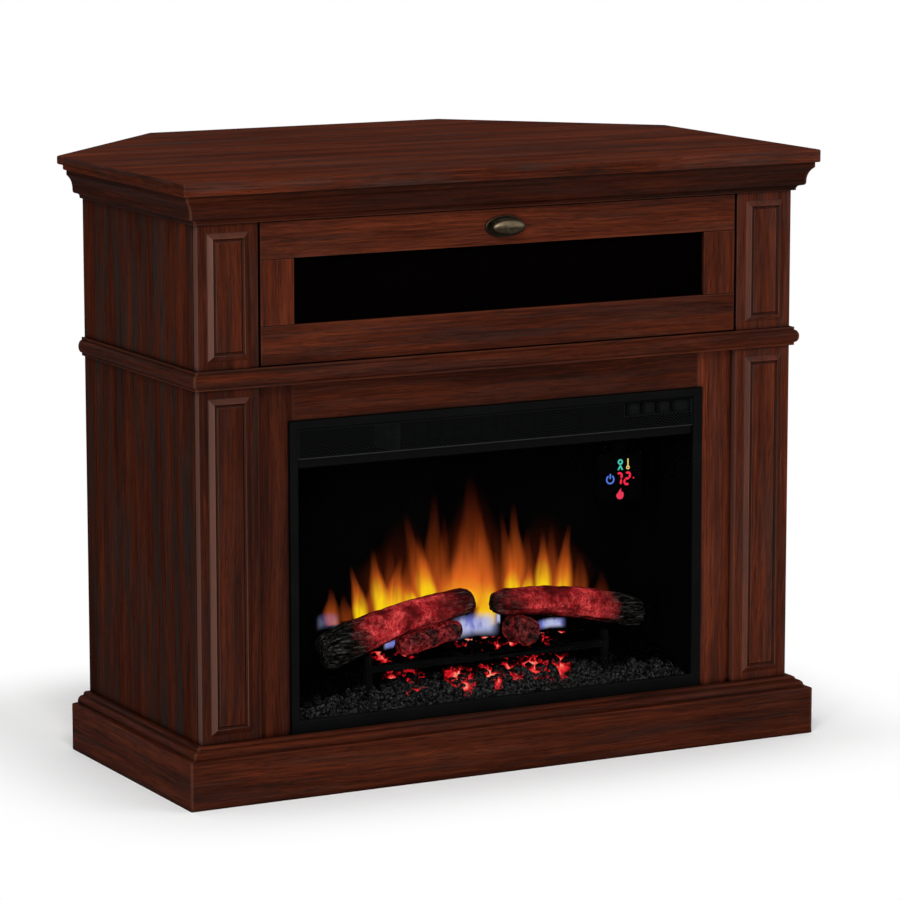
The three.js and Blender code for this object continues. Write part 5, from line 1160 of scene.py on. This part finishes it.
# Root x, root z, tip x, tip z, width in millimetres, and warmth from 0 to 1.
TONGUES = [
    # wide haze
    (-117, 249, -113, 403, 239, 0.16), (9, 240, 13, 441, 239, 0.22), (143, 236, 139, 390, 239, 0.16),
    # tall dim tongues
    (-56, 246, -61, 441, 63, 0.36), (-47, 252, -42, 403, 44, 0.3), (-78, 248, -115, 410, 55, 0.42),
    (9, 240, 5, 464, 103, 0.36), (24, 238, 22, 414, 63, 0.5), (-9, 238, -7, 381, 81, 0.6),
    (54, 245, 54, 332, 52, 0.36), (78, 243, 60, 395, 44, 0.42), (86, 242, 85, 409, 55, 0.54),
    (108, 240, 111, 367, 48, 0.34), (156, 235, 153, 367, 52, 0.38), (206, 224, 204, 316, 52, 0.34),
    (249, 216, 245, 280, 48, 0.2), (-239, 228, -246, 296, 44, 0.44), (-216, 233, -220, 284, 37, 0.3),
    (-142, 241, -138, 357, 52, 0.32), (-163, 237, -159, 327, 55, 0.4), (-104, 244, -102, 341, 63, 0.45),
    # bright tongues in front
    (-190, 227, -209, 328, 40, 0.8), (-192, 227, -197, 292, 31, 1.0), (-151, 233, -172, 354, 48, 0.9),
    (-151, 233, -158, 314, 37, 1.0), (-131, 237, -142, 287, 55, 0.95), (-128, 240, -120, 336, 52, 0.72),
    (-99, 244, -106, 296, 40, 0.9), (-72, 248, -92, 366, 52, 0.8), (-70, 244, -76, 326, 46, 1.0),
    (-6, 231, -16, 346, 147, 0.7), (-9, 235, -6, 303, 118, 0.76), (33, 198, 44, 331, 59, 0.94),
    (33, 205, 38, 305, 40, 1.0), (27, 202, 31, 270, 55, 0.88), (82, 239, 84, 324, 44, 0.94),
    (110, 236, 111, 305, 37, 0.92), (139, 234, 135, 356, 48, 0.9), (139, 230, 137, 313, 40, 1.0),
    (172, 224, 187, 364, 50, 0.68), (171, 224, 174, 306, 37, 0.9),
]
FLAME_PLANE = -0.2295       # y of the light, just in front of the screen
FLAME_LAYER = 0.00008       # each tongue stands this far in front of the last


def shape_flames():
    """Each tongue is a curved blade that narrows to its tip."""
    rng = random.Random(11)
    across, up = 8, 22
    points, faces, uvs, heats = [], [], [], []
    for number, (root_x, root_z, tip_x, tip_z, width, heat) in enumerate(TONGUES):
        y = FLAME_PLANE - number * FLAME_LAYER
        sway, phase = rng.uniform(2, 5), rng.uniform(0, 6)
        first = len(points)
        for j in range(up + 1):
            v = j / up
            middle = root_x + (tip_x - root_x) * v ** 1.3
            middle += sway * math.sin(phase + 4.2 * v) * v * (1 - v) * 3
            belly = (0.7 + 0.3 * math.sin(math.pi * min(1, v * 1.5))) * (1 - 0.8 * v ** 1.5)
            half = width / 2 * max(belly, 0.02)
            for i in range(across + 1):
                u = i / across
                points.append(((middle + half * (2 * u - 1)) * MM, y,
                               (root_z + (tip_z - root_z) * v) * MM))
                uvs.append((u, v))
                heats.append(heat)
        for j in range(up):
            for i in range(across):
                a = first + j * (across + 1) + i
                faces.append((a, a + 1, a + across + 2, a + across + 1))
    sheet_with_uv("flame_tongues", points, faces, uvs, heats, flame_light())


def sheet_with_uv(name, points, faces, uvs, heats, material):
    mesh = mesh_of(name, points, faces, smooth=True)
    layer = mesh.uv_layers.new(name="tongue")
    for loop in mesh.loops:
        layer.data[loop.index].uv = uvs[loop.vertex_index]
    heat = mesh.attributes.new("warmth", "FLOAT", "POINT")
    heat.data.foreach_set("value", heats)
    return piece(name, mesh, material, "cabinet")


def shape_gas_glow():
    """Soft blue patches low between and beside the logs."""
    patches = GAS_PATCHES
    points, faces, uvs = [], [], []
    for number, (x, z, width, height) in enumerate(patches):
        y = FLAME_PLANE - (len(TONGUES) + 4 + number) * FLAME_LAYER
        first = len(points)
        for v in (0, 0.25, 0.5, 0.75, 1):
            for u in (0, 0.25, 0.5, 0.75, 1):
                arch = 0.12 * height * math.sin(math.pi * u)
                points.append(((x + width * (u - 0.5)) * MM, y, (z + height * (v - 0.5) + arch) * MM))
                uvs.append((u, v))
        for j in range(4):
            for i in range(4):
                a = first + j * 5 + i
                faces.append((a, a + 1, a + 6, a + 5))
    sheet_with_uv("gas_glow", points, faces, uvs, [1.0] * len(points), gas_light())


# -------------------------------------------------------------------- logs


class FIREPLACE_OT_logs(bpy.types.Operator):
    """Models the two moulded logs over the coals"""
    bl_idname = "fireplace.logs"
    bl_label = "Logs"

    def execute(self, context):
        make_log("log_left_bark", "log_left", rising=True,
                 finish=charred_log("log_left_char", -1, -0.225, -0.075))
        make_log("log_right_bark", "log_right", rising=False,
                 finish=charred_log("log_right_char", 1, 0.235, 0.06))
        return {"FINISHED"}


def make_log(name, node, rising, finish):
    """A log between the ends of its solid: swelling, bent and fissured."""
    low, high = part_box(node)
    rings, sides = 110, 96
    radius_low, radius_high = (33, 22) if rising else (21, 25)
    inset = 4 * MM
    start = Vector((low.x + inset, (low.y + high.y) / 2, 0))
    end = Vector((high.x - inset, (low.y + high.y) / 2, 0))
    foot_a = low.z + radius_low * MM if rising else high.z - (radius_low + 3) * MM
    foot_b = high.z - (radius_high + 3) * MM if rising else low.z + radius_high * MM
    start.z, end.z = foot_a, foot_b
    axis = (end - start).normalized()
    side = Vector((0, 1, 0)).cross(axis).normalized()
    up = axis.cross(side)
    points, faces = [], []
    for k in range(rings + 1):
        t = k / rings
        middle = start.lerp(end, t) + Vector((0, 0, 9 * MM * math.sin(math.pi * t)))
        radius = (radius_low + (radius_high - radius_low) * t) * MM
        if not rising:
            radius += 3.5 * MM * math.sin(math.pi * t)
        rounded = min(1.0, 0.82 + 4.5 * min(t, 1 - t))
        for s in range(sides):
            angle = 2 * math.pi * s / sides
            around = side * math.cos(angle) + up * math.sin(angle)
            probe = middle * 1.0 + around * radius
            ridges = noise.noise(Vector((probe.x * 14, angle * 3.2, 1.7)))
            knots = noise.noise(probe * 55)
            grain = noise.noise(Vector((probe.x * 60, angle * 12, 4.1)))
            swell = radius * rounded + (2.2 * ridges + 1.6 * knots + 0.8 * grain - 1.5) * MM
            points.append(middle + around * swell)
    for k in range(rings):
        for s in range(sides):
            a, b = k * sides + s, k * sides + (s + 1) % sides
            faces.append((a, b, b + sides, a + sides))
    for ring, flip in ((0, True), (rings, False)):
        ends = [ring * sides + s for s in range(sides)]
        middle = sum((points[i] for i in ends), Vector()) / sides
        points.append(middle)
        hub = len(points) - 1
        for s in range(sides):
            a, b = ends[s], ends[(s + 1) % sides]
            faces.append((hub, b, a) if flip else (hub, a, b))
    points = [Vector((min(max(p.x, low.x), high.x), min(max(p.y, low.y), high.y),
                      min(max(p.z, low.z), high.z))) for p in points]
    piece(name, mesh_of(name, points, faces, smooth=True), finish, "cabinet", [node])


# --------------------------------------------------------------- fuel bed


class FIREPLACE_OT_fuel_bed(bpy.types.Operator):
    """Heaps the coals and the ash, with the small logs and the grate"""
    bl_idname = "fireplace.fuel_bed"
    bl_label = "Fuel bed"

    def execute(self, context):
        heap_coals()
        dress("grate", black_paint("grate_iron", (0.0016, 0.0016, 0.0018), 0.6, 260, 0.03), 0.6 * MM)
        return {"FINISHED"}


# Middle x, y and reach of each glowing part of the bed, in millimetres.
HOT_SPOTS = [
    (-153, -240, 26), (-118, -252, 20), (-2, -238, 24), (34, -243, 26), (60, -246, 22),
    (139, -240, 26), (165, -238, 16), (-161, -287, 18), (-132, -296, 26), (-49, -298, 28),
    (6, -299, 24), (53, -292, 24), (91, -293, 32), (129, -291, 30),
]


def heat_at(x, y):
    """How hot the bed is at a place, from 0 to 1, both in millimetres."""
    warmth = 0.0
    for spot_x, spot_y, reach in HOT_SPOTS:
        away = math.hypot(x - spot_x, (y - spot_y) * 1.2) / reach
        warmth = max(warmth, 1.0 - away)
    return max(0.0, min(1.0, warmth * 1.9))


def bed_height(x, y, low, high):
    """Height of the heap over the floor: low in front, high behind."""
    back = min(1.0, max(0.0, (y - low.y) / (high.y - low.y)))
    rise = 12 + 80 * back ** 0.75
    wide = 1 - 0.5 * abs(x / high.x) ** 3
    return rise * wide * MM


def heap_coals():
    low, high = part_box("ember_bed")
    fire = setting("fire")
    rng = random.Random(5)

    def build(bm):
        heats = bm.verts.layers.float.new("warmth")
        lay_base(bm, heats, low, high)
        for _ in range(fire.lumps):
            across = rng.uniform(-1, 1)
            x = (high.x - 14 * MM) * across
            y = low.y + (high.y - low.y) * (0.1 + 0.78 * rng.random() ** 1.2)
            add_lump(bm, heats, rng, (x, y, low.z + bed_height(x, y, low, high)),
                     rng.uniform(6, 13) * MM)
        for spot_x, spot_y, reach in HOT_SPOTS:
            for _ in range(int(reach / 2.2)):
                x = (spot_x + reach * rng.uniform(-1, 1)) * MM
                y = max((spot_y + reach * rng.uniform(-0.8, 0.8)) * MM, low.y + 8 * MM)
                y = min(y, high.y - 8 * MM)
                add_lump(bm, heats, rng, (x, y, low.z + bed_height(x, y, low, high)),
                         rng.uniform(5, 9) * MM)

    def build_logs(bm):
        heats = bm.verts.layers.float.new("warmth")
        add_short_log(bm, heats, (-0.150, -0.284, 0.196), (-0.040, -0.276, 0.214), 17 * MM, 0.75)
        add_short_log(bm, heats, (0.068, -0.312, 0.203), (0.070, -0.256, 0.201), 23 * MM, 0.5)

    mesh = mesh_from("coal_heap", build, smooth=True)
    piece("coal_heap", mesh, coal("coal_and_ash"), "cabinet", ["ember_bed"])
    mesh = mesh_from("short_logs", build_logs, smooth=True)
    piece("short_logs", mesh, ember_log("ember_log"), "cabinet")


def lay_base(bm, heats, low, high):
    """Closed slab under the lumps, with a rough top."""
    columns, rows = 150, 30
    inset = 1 * MM
    top, foot = [], []
    for j in range(rows + 1):
        for i in range(columns + 1):
            x = low.x + inset + (high.x - low.x - 2 * inset) * i / columns
            y = low.y + inset + (high.y - low.y - 2 * inset) * j / rows
            rough = 5 * MM * noise.noise(Vector((x * 38, y * 38, 0)))
            rough += 3 * MM * noise.noise(Vector((x * 110, y * 110, 3)))
            height = max(3 * MM, bed_height(x, y, low, high) + rough)
            vert = bm.verts.new((x, y, low.z + height))
            vert[heats] = heat_at(x / MM, y / MM)
            top.append(vert)
            foot.append(bm.verts.new((x, y, low.z)) if i in (0, columns) or j in (0, rows) else None)
    stride = columns + 1
    for j in range(rows):
        for i in range(columns):
            a = j * stride + i
            bm.faces.new((top[a], top[a + 1], top[a + stride + 1], top[a + stride]))
    edge = [i for i in range(stride)] + [j * stride + columns for j in range(1, rows + 1)]
    edge += [rows * stride + i for i in range(columns - 1, -1, -1)]
    edge += [j * stride for j in range(rows - 1, 0, -1)]
    for a, b in zip(edge, edge[1:] + edge[:1]):
        bm.faces.new((top[a], foot[a], foot[b], top[b]))
    bm.faces.new([foot[a] for a in edge])


def add_lump(bm, heats, rng, place, size):
    """One angular coal, half sunk in the heap."""
    turn = Matrix.Rotation(rng.uniform(0, 6.28), 4, (rng.random(), rng.random(), 1))
    squash = Matrix.Diagonal((rng.uniform(0.8, 1.5), rng.uniform(0.8, 1.2), rng.uniform(0.6, 1), 1))
    made = bmesh.ops.create_icosphere(bm, subdivisions=2, radius=size, matrix=(
        Matrix.Translation(place) @ turn @ squash))["verts"]
    middle = Vector(place)
    seed = rng.uniform(0, 50)
    low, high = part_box("ember_bed")
    for vert in made:
        out = vert.co - middle
        bulge = noise.noise(out.normalized() * 1.9 + Vector((seed, 0, 0)))
        vert.co = middle + out * (1 + 0.42 * bulge)
        vert.co.x = min(max(vert.co.x, low.x), high.x)
        vert.co.y = min(max(vert.co.y, low.y), high.y)
        vert.co.z = max(vert.co.z, low.z)
        above = max(0.0, (vert.co.z - middle.z) / size + 0.2)
        vert[heats] = heat_at(vert.co.x / MM, vert.co.y / MM) * max(0.0, 1.0 - 2.1 * above)


def add_short_log(bm, heats, start, end, radius, heat):
    """A small round log with knobbly sides and rounded ends."""
    start, end = Vector(start), Vector(end)
    axis = (end - start).normalized()
    side = axis.orthogonal().normalized()
    up = axis.cross(side)
    rings, sides = 16, 26
    loops = []
    for k in range(rings + 1):
        t = k / rings
        taper = min(1.0, 0.72 + 3.4 * min(t, 1 - t))
        loop = []
        for s in range(sides):
            angle = 2 * math.pi * s / sides
            around = side * math.cos(angle) + up * math.sin(angle)
            probe = start.lerp(end, t) + around * radius
            lumps = 1 + 0.22 * noise.noise(probe * 70) + 0.1 * noise.noise(probe * 210)
            vert = bm.verts.new(start.lerp(end, t) + around * radius * taper * lumps)
            vert[heats] = heat
            loop.append(vert)
        loops.append(loop)
    for a, b in zip(loops, loops[1:]):
        for s in range(sides):
            bm.faces.new((a[s], a[(s + 1) % sides], b[(s + 1) % sides], b[s]))
    bm.faces.new(loops[0][::-1])
    bm.faces.new(loops[-1])


# ----------------------------------------------------------- firebox inside


class FIREPLACE_OT_firebox_inside(bpy.types.Operator):
    """Finishes the housing, the heater, the flame maker and the cord gland"""
    bl_idname = "fireplace.firebox_inside"
    bl_label = "Firebox inside"

    def execute(self, context):
        dress("insert_housing", housing_steel(), 0.4 * MM)
        dress("flame_screen", smoked_screen())
        dress("heater_unit", heater_steel(), 0.3 * MM)
        dress("rotor_motor", metal("motor_steel", (0.5, 0.51, 0.52), (0.3, 0.3, 0.31), 0.38),
              0.3 * MM)
        dress("light_bar", metal("mill_aluminium", (0.72, 0.73, 0.74), (0.5, 0.5, 0.51), 0.3,
                                 (4, 90, 90)), 0.3 * MM)
        dress("flame_rotor", metal("bright_foil", (0.85, 0.86, 0.87), (0.6, 0.6, 0.62), 0.12,
                                   (6, 50, 50)))
        plastic = black_paint("black_plastic", (0.004, 0.004, 0.0045), 0.5, 700, 0.02)
        for node in ("cord_gland", "blower_wheel"):
            dress(node, plastic, 0.3 * MM)
        return {"FINISHED"}


# ------------------------------------------------------------------- panel

OPERATORS = [
    FIREPLACE_OT_stage, FIREPLACE_OT_cabinet, FIREPLACE_OT_media_door, FIREPLACE_OT_hardware,
    FIREPLACE_OT_firebox_front, FIREPLACE_OT_display, FIREPLACE_OT_flames, FIREPLACE_OT_logs,
    FIREPLACE_OT_fuel_bed, FIREPLACE_OT_firebox_inside,
]


class FIREPLACE_PT_looks(bpy.types.Panel):
    """Lists the steps that dress the fireplace"""
    bl_idname = "FIREPLACE_PT_looks"
    bl_label = "Fireplace"
    bl_space_type = "VIEW_3D"
    bl_region_type = "UI"
    bl_category = "Fireplace"

    def draw(self, context):
        for operator in OPERATORS:
            self.layout.operator(operator.bl_idname)
        for name, group in PROPERTY_GROUPS.items():
            box = self.layout.box()
            for key in group.__annotations__:
                box.prop(getattr(context.scene, name), key)


def register():
    for group in PROPERTY_GROUPS.values():
        bpy.utils.register_class(group)
    for name, group in PROPERTY_GROUPS.items():
        setattr(bpy.types.Scene, name, bpy.props.PointerProperty(type=group))
    for operator in OPERATORS:
        bpy.utils.register_class(operator)
    bpy.utils.register_class(FIREPLACE_PT_looks)


def unregister():
    bpy.utils.unregister_class(FIREPLACE_PT_looks)
    for operator in reversed(OPERATORS):
        bpy.utils.unregister_class(operator)
    for name, group in PROPERTY_GROUPS.items():
        delattr(bpy.types.Scene, name)
        bpy.utils.unregister_class(group)


def main():
    register()
    for operator in OPERATORS:
        getattr(bpy.ops.fireplace, operator.bl_idname.split(".")[1])()
    bpy.context.view_layer.update()


if __name__ == "__main__":
    main()
